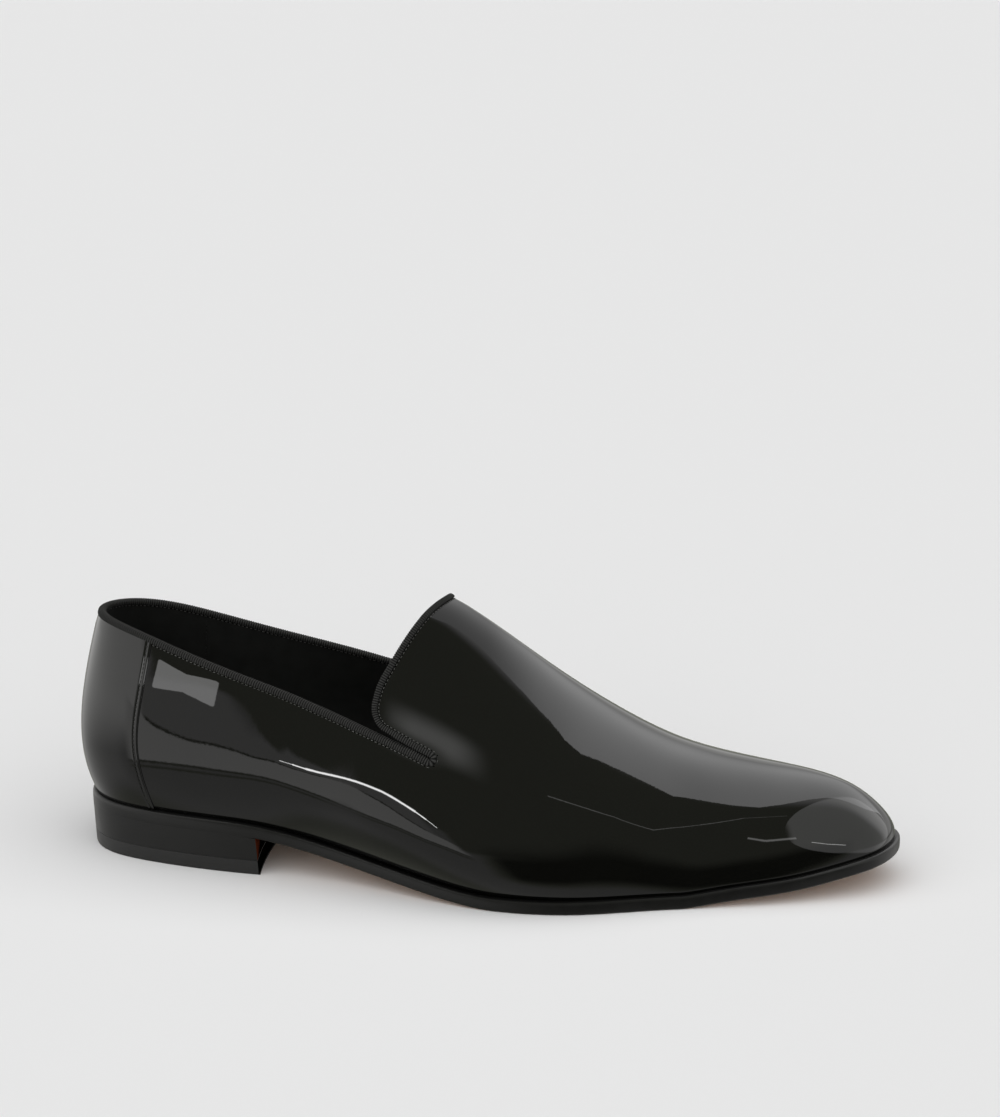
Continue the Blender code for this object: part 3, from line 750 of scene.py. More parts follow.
def finish(name, colour, roughness, grain, depth, vary=0.25, specular=0.5, coat=0.0, coat_roughness=0.03):
    """Leather-like finish: colour and roughness that vary a little, a fine grain, a waviness in a coat."""
    made = bpy.data.materials.new(name)
    made.use_nodes = True
    nodes, links = made.node_tree.nodes, made.node_tree.links
    shader = nodes["Principled BSDF"]
    shader.inputs["Specular IOR Level"].default_value = specular
    shader.inputs["Coat Weight"].default_value = coat
    shader.inputs["Coat Roughness"].default_value = coat_roughness
    place = nodes.new("ShaderNodeTexCoord").outputs["Object"]
    cloud = nodes.new("ShaderNodeTexNoise")
    cloud.inputs["Scale"].default_value = CLOUDS_PER_GRAIN / (grain * MM)
    cloud.inputs["Detail"].default_value = 3.0
    links.new(place, cloud.inputs["Vector"])
    tint = nodes.new("ShaderNodeMix")
    tint.data_type = "RGBA"
    links.new(cloud.outputs["Fac"], tint.inputs["Factor"])
    tint.inputs["A"].default_value = (*(c * (1 - vary) for c in colour), 1.0)
    tint.inputs["B"].default_value = (*(c * (1 + vary) for c in colour), 1.0)
    links.new(tint.outputs["Result"], shader.inputs["Base Color"])
    dull = nodes.new("ShaderNodeMapRange")
    links.new(cloud.outputs["Fac"], dull.inputs["Value"])
    dull.inputs["To Min"].default_value = roughness * (1 - vary)
    dull.inputs["To Max"].default_value = roughness * (1 + vary)
    links.new(dull.outputs["Result"], shader.inputs["Roughness"])
    pores = nodes.new("ShaderNodeTexNoise")
    pores.inputs["Scale"].default_value = 1.0 / (grain * MM)
    pores.inputs["Detail"].default_value = 2.0
    links.new(place, pores.inputs["Vector"])
    bump = nodes.new("ShaderNodeBump")
    bump.inputs["Distance"].default_value = depth * MM
    links.new(pores.outputs["Fac"], bump.inputs["Height"])
    links.new(bump.outputs["Normal"], shader.inputs["Normal"])
    if coat:
        sway = nodes.new("ShaderNodeTexNoise")
        sway.inputs["Scale"].default_value = 1.0 / (WAVE_SIZE * MM)
        sway.inputs["Detail"].default_value = 0.0
        links.new(place, sway.inputs["Vector"])
        wavy = nodes.new("ShaderNodeBump")
        wavy.inputs["Distance"].default_value = WAVE_DEPTH * MM
        links.new(sway.outputs["Fac"], wavy.inputs["Height"])
        links.new(bump.outputs["Normal"], wavy.inputs["Normal"])
        links.new(wavy.outputs["Normal"], shader.inputs["Coat Normal"])
    return made


BLACK = (0.0012, 0.0012, 0.0010)
patent = finish("patent_leather", BLACK, 0.20, 1.2, 0.0045, specular=0.0, coat=1.0, coat_roughness=0.035)
lining_leather = finish("lining_leather", (0.0095, 0.0097, 0.0090), 0.55, 0.6, 0.05, specular=0.3)
ribbon = finish("grosgrain_ribbon", (0.020, 0.020, 0.0190), 0.7, 0.25, 0.04, specular=0.1)
# The thread is black; its colour is painted lighter, a painted highlight that makes the stitches show as
# light dots.
thread = finish("thread", (0.060, 0.060, 0.057), 0.28, 0.2, 0.03, specular=0.8)
dark_thread = finish("dark_thread", (0.012, 0.012, 0.0115), 0.35, 0.2, 0.03, specular=0.4)
# Painted shade: a flat black bead stands in for the dark inside each needle hole.
needle_hole_shade = finish("needle_hole_shade", (0.0008, 0.0008, 0.0008), 0.9, 0.2, 0.02, specular=0.0)
edge_ink = finish("inked_edge", (0.005, 0.005, 0.0048), 0.36, 0.5, 0.02, specular=0.33)
stained_leather = finish("stained_leather", (0.085, 0.019, 0.008), 0.8, 0.4, 0.03, specular=0.0)
dull_black = finish("dull_black", (0.003, 0.003, 0.0026), 0.8, 0.5, 0.02, specular=0.0)
tan_leather = finish("tan_leather", (0.34, 0.19, 0.095), 0.55, 0.4, 0.03, specular=0.4)
heel_rubber = finish("heel_rubber", (0.014, 0.014, 0.014), 0.5, 0.6, 0.03, specular=0.4)
print(len(bpy.data.materials), "finishes")

# %% [markdown]
# ## Upper
# The upper is one skin of leather pulled over the last and tucked under at the sole. A fine grid is wrapped
# round the last, drawn in at its lower edge where the sole pinches it, given the leather's thickness, and
# cut with the opening. Cutting with a prism keeps the edge exactly where the binding will sit.
#
# Leather never lies quite still on the last. In front of the stiff heel the outer quarter is a little
# hollow, and the hollow ends in a crisp line that runs down behind it and along the waist. The line and the
# section of the hollow are two short tables. Round the opening the leather is also pinched down where the
# ribbon is sewn.

# %% Fold and pinch in the leather
FoldPoint = namedtuple("FoldPoint", "along height strength")
FOLD_LINE = [
    FoldPoint(61.5, 79.0, 0.6),
    FoldPoint(64.7, 73.5, 0.8),
    FoldPoint(69.2, 67.0, 1.0),
    FoldPoint(71.8, 61.7, 1.0),
    FoldPoint(75.9, 53.2, 1.0),
    FoldPoint(78.4, 49.6, 1.0),
    FoldPoint(81.5, 46.8, 1.0),
    FoldPoint(86.0, 45.2, 1.0),
    FoldPoint(91.9, 43.9, 1.0),
    FoldPoint(101.0, 43.4, 1.0),
    FoldPoint(107.9, 43.2, 0.85),
    FoldPoint(113.3, 42.6, 0.7),
    FoldPoint(119.0, 40.6, 0.6),
    FoldPoint(125.8, 38.8, 0.5),
    FoldPoint(131.8, 35.6, 0.45),
    FoldPoint(137.3, 32.4, 0.4),
    FoldPoint(141.6, 29.4, 0.3),
    FoldPoint(145.2, 26.5, 0.15),
    FoldPoint(149.2, 22.1, 0.0),
]
FoldDepth = namedtuple("FoldDepth", "distance depth")
FOLD_SECTION = [
    FoldDepth(-9.0, 0.0),
    FoldDepth(-4.0, 0.0),
    FoldDepth(-1.2, 0.0),
    FoldDepth(0.0, 0.02),
    FoldDepth(1.0, 0.085),
    FoldDepth(3.0, 0.235),
    FoldDepth(6.0, 0.46),
    FoldDepth(9.0, 0.66),
    FoldDepth(12.0, 0.81),
    FoldDepth(15.0, 0.90),
    FoldDepth(19.0, 0.92),
    FoldDepth(26.0, 0.80),
    FoldDepth(36.0, 0.45),
    FoldDepth(46.0, 0.0),
]
PINCH_DEPTH = 0.35
PINCH_REACH = 2.8
FOLD_STEPS = 161
FOLD_FADE = 8.0

fold_path = smooth_path(FOLD_LINE, FOLD_STEPS)
fold_depth = cubic_spline([row.distance for row in FOLD_SECTION], [row.depth for row in FOLD_SECTION])


def fold_drop(points):
    """How far the outer quarter sinks at these points, from their distance above the fold line."""
    away = points[:, None, [0, 2]] - fold_path[None, :, :2]
    nearest = np.linalg.norm(away, axis=2).argmin(1)
    away = away[np.arange(len(points)), nearest]
    tangent = unit(np.gradient(fold_path[:, :2], axis=0)[nearest])
    distance = away[:, 1] * tangent[:, 0] - away[:, 0] * tangent[:, 1]
    beyond_end = np.abs((away * tangent).sum(1))
    fade = np.exp(-((beyond_end / FOLD_FADE) ** 2)) * (points[:, 1] < 0)
    sunk = fold_depth(np.clip(distance, FOLD_SECTION[0].distance, FOLD_SECTION[-1].distance))
    return sunk * fold_path[nearest, 2] * fade


def pinch_drop(points):
    """How far the ribbon's seam pulls the leather down near the opening."""
    return PINCH_DEPTH * np.exp(-((np.maximum(opening_distance(points), 0) / PINCH_REACH) ** 2))


print("deepest point of the hollow:", max(row.depth for row in FOLD_SECTION), "mm")

# %% Upper
SKIN_COLUMNS = 360
SKIN_ROWS = 100
SKIN_CROWD = 1.5
SKIN_THICKNESS = 0.9
TUCK_DEPTH = 0.25
TUCK_HEIGHT = 0.7

skin, skin_normal = wall_grid(SKIN_COLUMNS, SKIN_ROWS, SKIN_CROWD)
skin[0, :, 2] -= SEAT_GAP
above_sole = skin[..., 2] - skin[:1, :, 2]
tuck = TUCK_DEPTH * np.exp(-((above_sole / TUCK_HEIGHT) ** 2))
sunk = np.stack([fold_drop(row) + pinch_drop(row) for row in skin])
upper = bent_grid("upper_skin", skin - skin_normal * (tuck + sunk)[..., None])
apply_modifier(upper, "SOLIDIFY", thickness=SKIN_THICKNESS * MM, offset=-1.0)


def opening_cutter():
    """Prism through the shoe with the outline of the opening."""
    rows = []
    for side in CUTTER_SIDES:
        height = OPENING[:, 1] + OPENING[:, 2] * (side - LEAN_FROM)
        row = np.column_stack([OPENING[:, 0], np.full(len(OPENING), side), height])
        rows.append(np.concatenate([row, row[:1]]))
    cutter = bent_grid("opening_cutter", np.stack(rows))
    bpy.ops.object.mode_set(mode="EDIT")
    bpy.ops.mesh.select_all(action="SELECT")
    bpy.ops.mesh.fill_holes(sides=0)
    bpy.ops.object.mode_set(mode="OBJECT")
    normals_out(cutter)
    return cutter


cutter = opening_cutter()
apply_modifier(upper, "BOOLEAN", operation="DIFFERENCE", solver="EXACT", object=cutter)
finish_piece(upper, "upper", patent, nodes=("upper",))

# %% [markdown]
# ## Lining
# Inside the leather lies a dull black lining. It is a second, coarser sheet on the inner face of the wall,
# with its faces turned towards the foot, and the same prism cuts its opening.

# %% Lining
LINING_THICKNESS = 0.3
LINING_COLUMNS = 200
LINING_ROWS = 60
LINING_CROWD = 1.2

inner, inner_normal = wall_grid(LINING_COLUMNS, LINING_ROWS, LINING_CROWD)
inner_drop = np.stack([fold_drop(row) for row in inner])
inner = inner - inner_normal * (UPPER_WALL + inner_drop)[..., None]
lining = bent_grid("lining", inner[:, ::-1])
apply_modifier(lining, "SOLIDIFY", thickness=LINING_THICKNESS * MM, offset=-1.0)
apply_modifier(lining, "BOOLEAN", operation="DIFFERENCE", solver="EXACT", object=cutter)
finish_piece(lining, "insole", lining_leather)
bpy.data.objects.remove(cutter, do_unlink=True)

# %% [markdown]
# ## Binding
# A ribbed ribbon is folded over the raw edge of the leather all the way round the opening. Its section is a
# rounded U. The section is carried along the edge in steps of a quarter of a rib, and every rib lifts it a
# little, so the ribbon catches the light as woven cord does. Its colour also holds painted shade between the
# ribs and a painted highlight on them.

# %% Edge frames
RIB = 0.88
SAMPLES_PER_RIB = 4


def edge_frames():
    """Points along the opening's edge: outer and inner corner, wall normal and the way out of the wall."""
    outer = last_surface(edge_spots[:, 0], edge_spots[:, 1])
    normal = surface_normal(edge_spots[:, 0], edge_spots[:, 1])
    outer = outer - normal * fold_drop(outer)[:, None]
    tangent = np.roll(outer, -2, axis=0) - np.roll(outer, 2, axis=0)
    out = unit(np.cross(normal, tangent))
    inner_corner = outer - normal * UPPER_WALL
    for _ in range(3):
        inner_corner = inner_corner + out * opening_distance(inner_corner)[:, None]
    return np.concatenate([outer, inner_corner, normal, out], axis=1)


def resample(rows, step):
    """Closed path resampled at an even step along its first three columns."""
    wrap = 8
    closed = np.concatenate([rows[-wrap:], rows, rows[: wrap + 1]])
    length = path_length(closed[:, :3])
    first, last = length[wrap], length[-wrap - 1]
    count = int(round((last - first) / step))
    where = first + (last - first) * np.arange(count) / count
    return np.stack([cubic_spline(length, column)(where) for column in closed.T], -1), last - first


ribs = resample(edge_frames(), RIB)[1] / RIB
edge_rows, edge_length = resample(edge_frames(), RIB / SAMPLES_PER_RIB * ribs / round(ribs))
print("edge", round(edge_length, 1), "mm long with", round(ribs), "ribs")

# %% Ribbon folded over the edge
LEG = 1.5
RIB_LIFT = 0.12
SLIT_SWELL = 0.45
SLIT_SIGHT = 1.3
SWELL_BLUR = 11
CROWN_FROM = 0.2
# Painted shade and painted highlight: the ribbon's colour is darkened in the valleys and lightened on the
# ribs.
VALLEY_PAINTED_SHADE = 0.03
RIB_PAINTED_HIGHLIGHT = 1.9
SECTION = np.array([
    (0.0, -0.25, -LEG + 0.05),
    (0.0, 0.08, -LEG),
    (0.0, 0.34, -LEG + 0.08),
    (0.0, 0.50, -LEG + 0.26),
    (0.0, 0.58, -LEG + 0.55),
    (0.0, 0.62, -0.6),
    (0.0, 0.60, -0.1),
    (0.0, 0.46, 0.34),
    (0.2, 0.20, 0.60),
    (0.5, 0.00, 0.68),
    (0.8, -0.20, 0.60),
    (1.0, -0.46, 0.34),
    (1.0, -0.60, -0.1),
    (1.0, -0.62, -0.6),
    (1.0, -0.58, -LEG + 0.55),
    (1.0, -0.50, -LEG + 0.26),
    (1.0, -0.34, -LEG + 0.08),
    (1.0, -0.08, -LEG),
    (1.0, -0.04, -LEG + 0.05),
    (1.0, -0.04, 0.10),
    (0.0, 0.04, 0.10),
])
section_plan = np.column_stack([SECTION[:, 1] - SECTION[:, 0] * UPPER_WALL, SECTION[:, 2]])
section_way = np.roll(section_plan, -1, axis=0) - np.roll(section_plan, 1, axis=0)
section_normal = unit(np.column_stack([-section_way[:, 1], section_way[:, 0]]))
if section_normal[SECTION[:, 2].argmax(), 1] < 0:
    section_normal = -section_normal
on_show = np.ones(len(SECTION))
on_show[[0, -3, -2, -1]] = 0.0

outer_edge, inner_edge = edge_rows[:, :3], edge_rows[:, 3:6]
edge_normal, edge_out = edge_rows[:, 6:9], edge_rows[:, 9:12]
wave = np.cos(2 * math.pi * np.arange(len(edge_rows)) / SAMPLES_PER_RIB) * RIB_LIFT
faces_ribbon = opening_distance(outer_edge + edge_out * SLIT_SIGHT * SLIT_WIDTH) > 0
soften = np.hanning(2 * SWELL_BLUR + 1)
closed_round = np.concatenate([faces_ribbon[-SWELL_BLUR:], faces_ribbon, faces_ribbon[:SWELL_BLUR]])
crowding = np.convolve(closed_round, soften / soften.sum(), "valid")
crown = np.where(SECTION[:, 2] > CROWN_FROM, SECTION[:, 2], 0.0)
lift_n = SECTION[:, 1] + np.outer(wave, section_normal[:, 0] * on_show)
lift_e = SECTION[:, 2] + np.outer(wave, section_normal[:, 1] * on_show)
lift_e = lift_e + np.outer(crowding, crown * SLIT_SWELL)
base = outer_edge[:, None] + (inner_edge - outer_edge)[:, None] * SECTION[None, :, :1]
tube = base + lift_n[..., None] * edge_normal[:, None] + lift_e[..., None] * edge_out[:, None]
tube = np.concatenate([tube, tube[:, :1]], axis=1)
tube = np.concatenate([tube, tube[:1]])
binding = bent_grid("binding_ribbon", tube)


def paint_rib_shade_and_highlight(surface, count):
    """Painted shade between the ribs and a painted highlight on them, counted along the sheet's second UV
    direction.
    """
    nodes, links = surface.node_tree.nodes, surface.node_tree.links
    base_colour = nodes["Principled BSDF"].inputs["Base Color"]
    length_way = nodes.new("ShaderNodeSeparateXYZ")
    links.new(nodes.new("ShaderNodeTexCoord").outputs["UV"], length_way.inputs["Vector"])
    phase = nodes.new("ShaderNodeMath")
    phase.operation = "MULTIPLY"
    links.new(length_way.outputs["Y"], phase.inputs[0])
    phase.inputs[1].default_value = 2 * math.pi * count
    ridge = nodes.new("ShaderNodeMath")
    ridge.operation = "COSINE"
    links.new(phase.outputs["Value"], ridge.inputs[0])
    shade = nodes.new("ShaderNodeMapRange")
    shade.inputs["From Min"].default_value = -1.0
    shade.inputs["To Min"].default_value = VALLEY_PAINTED_SHADE
    shade.inputs["To Max"].default_value = RIB_PAINTED_HIGHLIGHT
    links.new(ridge.outputs["Value"], shade.inputs["Value"])
    ribbed = nodes.new("ShaderNodeVectorMath")
    ribbed.operation = "SCALE"
    links.new(base_colour.links[0].from_socket, ribbed.inputs[0])
    links.new(shade.outputs["Result"], ribbed.inputs["Scale"])
    links.new(ribbed.outputs["Vector"], base_colour)


paint_rib_shade_and_highlight(ribbon, len(edge_rows) / SAMPLES_PER_RIB)
normals_out(binding)
finish_piece(binding, "collar_binding", ribbon, nodes=("collar_binding",), angle=60.0)

# %% [markdown]
# ## Stitches
# The ribbon is sewn down along its lower edge, outside and inside. One stitch is a short rounded bead of
# thread; it is modelled once from a sphere and copied along the seam, each copy turned to follow it. Between
# two stitches the needle left a small hole in the leather; the shade inside it is painted as a flat black
# bead.

# %% Stitches along the binding
STITCH_PITCH = 1.6
STITCH_DOWN = 1.92
STITCH_SINK = 0.06
STITCH = (0.32, 0.30, 1.00)
HOLE_SHADE_SIZE = (0.46, 0.16, 0.52)
LEATHER_SINK = PINCH_DEPTH * math.exp(-((STITCH_DOWN / PINCH_REACH) ** 2))


def stitch_row(name, slot, spots, along_seam, away, size=STITCH, surface=thread):
    """Copies of one bead, sized across, up and along, at the spots of a seam, facing off the leather."""
    bpy.ops.object.select_all(action="DESELECT")
    bpy.ops.mesh.primitive_uv_sphere_add(segments=6, ring_count=5, radius=0.5)
    bead = bpy.context.object
    bead.scale = size
    bpy.ops.object.transform_apply(location=False, rotation=False, scale=True)
    corners = np.array([vertex.co[:] for vertex in bead.data.vertices])
    faces = np.array([[*face.vertices, -1][:4] for face in bead.data.polygons])
    bpy.data.objects.remove(bead, do_unlink=True)
    along_seam = unit(along_seam)
    across = unit(np.cross(away, along_seam))
    turned = (
        across[:, None] * corners[None, :, :1]
        + away[:, None] * corners[None, :, 1:2]
        + along_seam[:, None] * corners[None, :, 2:]
    )
    points = (spots[:, None] + turned - MIDDLE) * MM
    mesh = bpy.data.meshes.new(name)
    every_face = []
    for i in range(len(spots)):
        every_face += [[c + i * len(corners) for c in face if c >= 0] for face in faces.tolist()]
    mesh.from_pydata(points.reshape(-1, 3).tolist(), [], every_face)
    row = bpy.data.objects.new(name, mesh)
    bpy.context.scene.collection.objects.link(row)
    finish_piece(row, slot, surface, angle=80.0)


def binding_seam(name, shift, size, surface):
    """Rows of beads along the ribbon's lower edge, outside and inside, shifted by half pitches."""
    rows, _ = resample(edge_frames(), STITCH_PITCH / 2)
    rows = rows[: len(rows) // 2 * 2]
    way = (np.roll(rows[:, :3], -1, axis=0) - np.roll(rows[:, :3], 1, axis=0))[shift::2]
    rows = rows[shift::2]
    normal, out = rows[:, 6:9], rows[:, 9:12]
    outside = rows[:, :3] - normal * (LEATHER_SINK - STITCH_SINK) - out * STITCH_DOWN
    inside = rows[:, 3:6] - normal * STITCH_SINK - out * STITCH_DOWN
    stitch_row(name + "_outside", "collar_binding", outside, way, normal, size, surface)
    stitch_row(name + "_inside", "collar_binding", inside, way, -normal, size, surface)


binding_seam("binding_stitches", 0, STITCH, thread)
# The second row is painted shade: flat black beads for the dark in the needle holes.
binding_seam("binding_hole_shade", 1, HOLE_SHADE_SIZE, needle_hole_shade)

# %% Stitches of the heel grip inside
GRIP_ALONG = 36.5
GRIP_BELOW_RIBBON = 0.5
GRIP_START = 0.5
GRIP_RISES = np.linspace(0.06, 0.66, 300)


def grip_seam(name, side):
    """Upright seam in the lining, on one side of the heel."""
    turns = np.full(len(GRIP_RISES), side * turn_of(GRIP_ALONG / SOLE_LENGTH))
    normal = surface_normal(turns, GRIP_RISES)
    path = last_surface(turns, GRIP_RISES) - normal * (UPPER_WALL + STITCH_SINK)
    path = path[opening_distance(path) > LEG + GRIP_BELOW_RIBBON]
    length = path_length(path)
    picked = np.searchsorted(length, np.arange(GRIP_START, length[-1], STITCH_PITCH))
    way = np.gradient(path, axis=0)[picked]
    stitch_row(name, "insole", path[picked], way, -normal[picked], surface=dark_thread)


grip_seam("grip_stitches_lateral", 1)
grip_seam("grip_stitches_medial", -1)

# %% [markdown]
# ## Heel counter
# A second layer of patent leather wraps the heel and is sewn down in front. Its front edge is turned and
# rounded, with a stitched groove just behind. Columns crowd at that edge so the round and the groove are
# real shape, and the sheet then gets a thickness that ends inside the upper.

# %% Heel counter
CounterSeam = namedtuple("CounterSeam", "height along")
COUNTER_SEAM = [
    CounterSeam(18.0, 30.6),
    CounterSeam(28.9, 27.4),
    CounterSeam(42.0, 24.9),
    CounterSeam(56.2, 26.2),
    CounterSeam(70.0, 28.3),
    CounterSeam(90.0, 29.9),
]
COUNTER_LIFT = 0.55
COUNTER_ROUND = 0.5
COUNTER_GROOVE = 1.7
GROOVE_DEPTH = 0.2
GROOVE_WIDTH = 0.28
COUNTER_SHEET = 0.5
COUNTER_ROWS = 60
COUNTER_COLUMNS = 70
COUNTER_FOOT = 0.006
COUNTER_CROWD = 1.2
COUNTER_UNDER_BINDING = 1.2
NEAREST_SEAM = 0.3
FURTHEST_SEAM = 1.6
LOWEST_TOP = 0.2
HIGHEST_TOP = 1.4
FIRST_REACH = 1.0
TURN_STEP = 0.01
EDGE_STEPS = np.array([
    0.0, 0.05, 0.12, 0.22, 0.35, 0.5, 0.8, 1.1, 1.35, 1.5, 1.6, 1.7, 1.8, 1.9, 2.05, 2.3, 2.7,
])
counter_front = cubic_spline([row.height for row in COUNTER_SEAM], [row.along for row in COUNTER_SEAM])


def solve_between(low, high, grows):
    """Bisection for arrays: where an increasing function passes zero."""
    for _ in range(40):
        middle = (low + high) / 2
        above = grows(middle) > 0
        low, high = np.where(above, low, middle), np.where(above, middle, high)
    return (low + high) / 2


def counter_reach(rises):
    """How far round from the back seam the counter's front edge lies, for rows at these rises."""

    def past_seam(turn):
        spot = last_surface(turn, rises)
        return spot[..., 0] - counter_front(spot[..., 2])

    nearest, furthest = np.full(rises.shape, NEAREST_SEAM), np.full(rises.shape, FURTHEST_SEAM)
    return solve_between(nearest, furthest, past_seam)


def counter_top(turns):
    """Rise at which the counter ends under the binding."""

    def below_edge(rise):
        return COUNTER_UNDER_BINDING - opening_distance(last_surface(turns, rise))

    return solve_between(np.full(turns.shape, LOWEST_TOP), np.full(turns.shape, HIGHEST_TOP), below_edge)


shares = np.linspace(COUNTER_FOOT, 1.0, COUNTER_ROWS + 1) ** COUNTER_CROWD
first_rises = shares * counter_top(np.array([FIRST_REACH]))
reach = counter_reach(first_rises)
ahead = last_surface(reach + TURN_STEP, first_rises) - last_surface(reach - TURN_STEP, first_rises)
speed = np.linalg.norm(ahead, axis=1) / (2 * TURN_STEP)
near_edge = reach[:, None] - EDGE_STEPS / speed[:, None]
middle_part = np.linspace(1, -1, COUNTER_COLUMNS + 1)[None, 1:-1] * near_edge[:, -1:]
counter_turns = np.concatenate([-near_edge, middle_part[:, ::-1], near_edge[:, ::-1]], axis=1)
counter_tops = counter_top(counter_turns[-1])
counter_rises = shares[:, None] * counter_tops
from_edge = (reach[:, None] - np.abs(counter_turns)) * speed[:, None]
rounded = np.sqrt(1 - (1 - np.clip(from_edge / COUNTER_ROUND, 0, 1)) ** 2)
groove = GROOVE_DEPTH * np.exp(-(((from_edge - COUNTER_GROOVE) / GROOVE_WIDTH) ** 2))
counter_face = last_surface(counter_turns, counter_rises)
counter_pinch = np.stack([pinch_drop(row) for row in counter_face])
counter_lift = COUNTER_LIFT * rounded - groove - counter_pinch
counter_normal = surface_normal(counter_turns, counter_rises)
counter = bent_grid("counter", counter_face + counter_normal * counter_lift[..., None])
apply_modifier(counter, "SOLIDIFY", thickness=COUNTER_SHEET * MM, offset=-1.0)
finish_piece(counter, "heel_counter", patent, nodes=("heel_counter",))

# %% Stitches along the counter
SEAM_START = 1.0
SEAM_END = 1.5
SEAM_SINK = 0.12


def seam_stitches(name, side):
    """Stitches in the groove behind one front edge of the counter."""
    turns = side * (reach - COUNTER_GROOVE / speed)
    rises = shares * counter_tops[-1]
    path = last_surface(turns, rises)
    length = path_length(path)
    where = np.arange(SEAM_START, length[-1] - SEAM_END, STITCH_PITCH)
    turns, rises = cubic_spline(length, turns)(where), cubic_spline(length, rises)(where)
    normal = surface_normal(turns, rises)
    spots = last_surface(turns, rises) + normal * (COUNTER_LIFT - SEAM_SINK)
    way = np.gradient(spots, axis=0)
    stitch_row(name, "heel_counter", spots, way, normal, surface=dark_thread)


seam_stitches("counter_stitches_lateral", 1)
seam_stitches("counter_stitches_medial", -1)

# %% [markdown]
# ## Outsole
# The outsole is a leather plate with an inked, rounded edge and a bare tan underside. It is a stack of rings
# round the outline; the rings crowd at the two rounded edges. At the heel the lower edge stays square,
# because there the plate sits on the heel block.

# %% Outsole
EDGE_ROUND = 0.8
TOP_ROUND = 1.15
HEEL_BREAST = 69.0
SOLE_COLUMNS = 420
SQUARE_EDGE = 0.1
SQUARE_FADE = 3.0
BOTTOM_INSETS = (14.0, 3.0)
SIDE_PARTS = (0.35, 0.5, 0.65)
SIDE_SWELL = 0.05
LEDGE_INSET = 5.0
UNDERSIDE_TILT = -0.9

sole_turns = np.linspace(0, 2 * math.pi, SOLE_COLUMNS + 1)


def sole_row(inset, lift):
    plan, _ = outline_point(sole_turns, inset)
    return np.column_stack([plan, sole_bottom(plan[:, 0]) + lift])


def spine_row(ring):
    """Middle line of a ring, where its two sides meet."""
    return (ring + ring[::-1]) / 2


sole_along = SOLE_LENGTH / 2 * (1 - np.cos(sole_turns))
lower_round = EDGE_ROUND * np.clip((sole_along - HEEL_BREAST + SQUARE_FADE) / SQUARE_FADE, SQUARE_EDGE, 1.0)
corner_steps = np.linspace(0, math.pi / 2, 6)
bottom_rows = [sole_row(inset, 0.0) for inset in BOTTOM_INSETS]
lower_rows = [sole_row(lower_round * (1 - np.sin(a)), lower_round * (1 - np.cos(a))) for a in corner_steps]
side_rows = [sole_row(-SIDE_SWELL, SOLE_THICKNESS * part) for part in SIDE_PARTS]
upper_rows = [
    sole_row(TOP_ROUND * (1 - np.cos(a)), SOLE_THICKNESS - TOP_ROUND * (1 - np.sin(a))) for a in corner_steps
]
ledge_row = sole_row(LEDGE_INSET, SOLE_THICKNESS)
sole_rows = [*bottom_rows, *lower_rows, *side_rows, *upper_rows, ledge_row]
sole_rows = [spine_row(bottom_rows[0]), *sole_rows, spine_row(ledge_row)]
outsole = bent_grid("outsole_plate", np.stack(sole_rows))


def paint_faces(piece, index, wanted):
    """Give the finish with this index to the faces whose middle and normal satisfy a test."""
    for face in piece.data.polygons:
        if wanted(face.center, face.normal):
            face.material_index = index


finish_piece(outsole, "outsole", edge_ink, tan_leather, nodes=("outsole",))
paint_faces(outsole, 1, lambda middle, normal: normal.z < UNDERSIDE_TILT)

# %% [markdown]
# ## Heel
# The heel is a block of stacked leather, inked black, on a rubber top piece. Its front face, the breast, is
# hollow. Each part is a stack of closed rings; the rings run round the sides and back across the breast.

# %% Heel
HEEL_TAPER = 0.8
HEEL_BREAST_HOLLOW = 2.5
HEEL_BREAST_SKEW = 2.5
TOP_PIECE_THICKNESS = 5.5
HEEL_STEPS = 70
BREAST_STEPS = 28
HEEL_SPINE = 0.9
BROWN_STRIP_SLOPE = 1.6
BROWN_STRIP_FADE = 0.005
BREAST_TILT = 0.8
STACK_GAP = 0.05
STACK_CORNER = (0.15, 0.12)
STACK_HEIGHTS = (6.5, 7.5, 8.5, 9.5)
STACK_TOPS = (-0.05, 0.1)
FADE_BLACK = (0.002, 0.002, 0.002, 1.0)


def heel_row(inset, height=None, rise=0.0):
    """Ring of the heel at a height above the floor, or against the sole when no height is given."""
    sides = []
    for end in (HEEL_BREAST, HEEL_BREAST + HEEL_BREAST_SKEW):
        sides.append(np.linspace(0, turn_of((end + inset) / SOLE_LENGTH), HEEL_STEPS + 1))
    lateral, _ = outline_point(sides[0], inset)
    medial, _ = outline_point(2 * math.pi - sides[1][::-1], inset)
    across = np.linspace(-1, 1, BREAST_STEPS + 1)[1:-1]
    breast = (lateral[-1] + medial[0]) / 2 + across[:, None] * (medial[0] - lateral[-1]) / 2
    breast[:, 0] -= HEEL_BREAST_HOLLOW * (1 - across**2)
    plan = np.concatenate([lateral, breast, medial])
    level = sole_bottom(plan[:, 0]) + rise if height is None else np.full(len(plan), height)
    return np.column_stack([plan, level])


def heel_spine(ring):
    """Middle line of a heel ring, kept behind the hollow breast."""
    line = (ring + ring[::-1]) / 2
    furthest = HEEL_SPINE * (HEEL_BREAST - HEEL_BREAST_HOLLOW)
    line[:, 0] = np.minimum(line[:, 0], furthest)
    line[HEEL_STEPS : HEEL_STEPS + BREAST_STEPS + 1] = line[HEEL_STEPS]
    return line


def heel_inset(height):
    return HEEL_TAPER * (1 - height / float(bottom_height(0.0)))


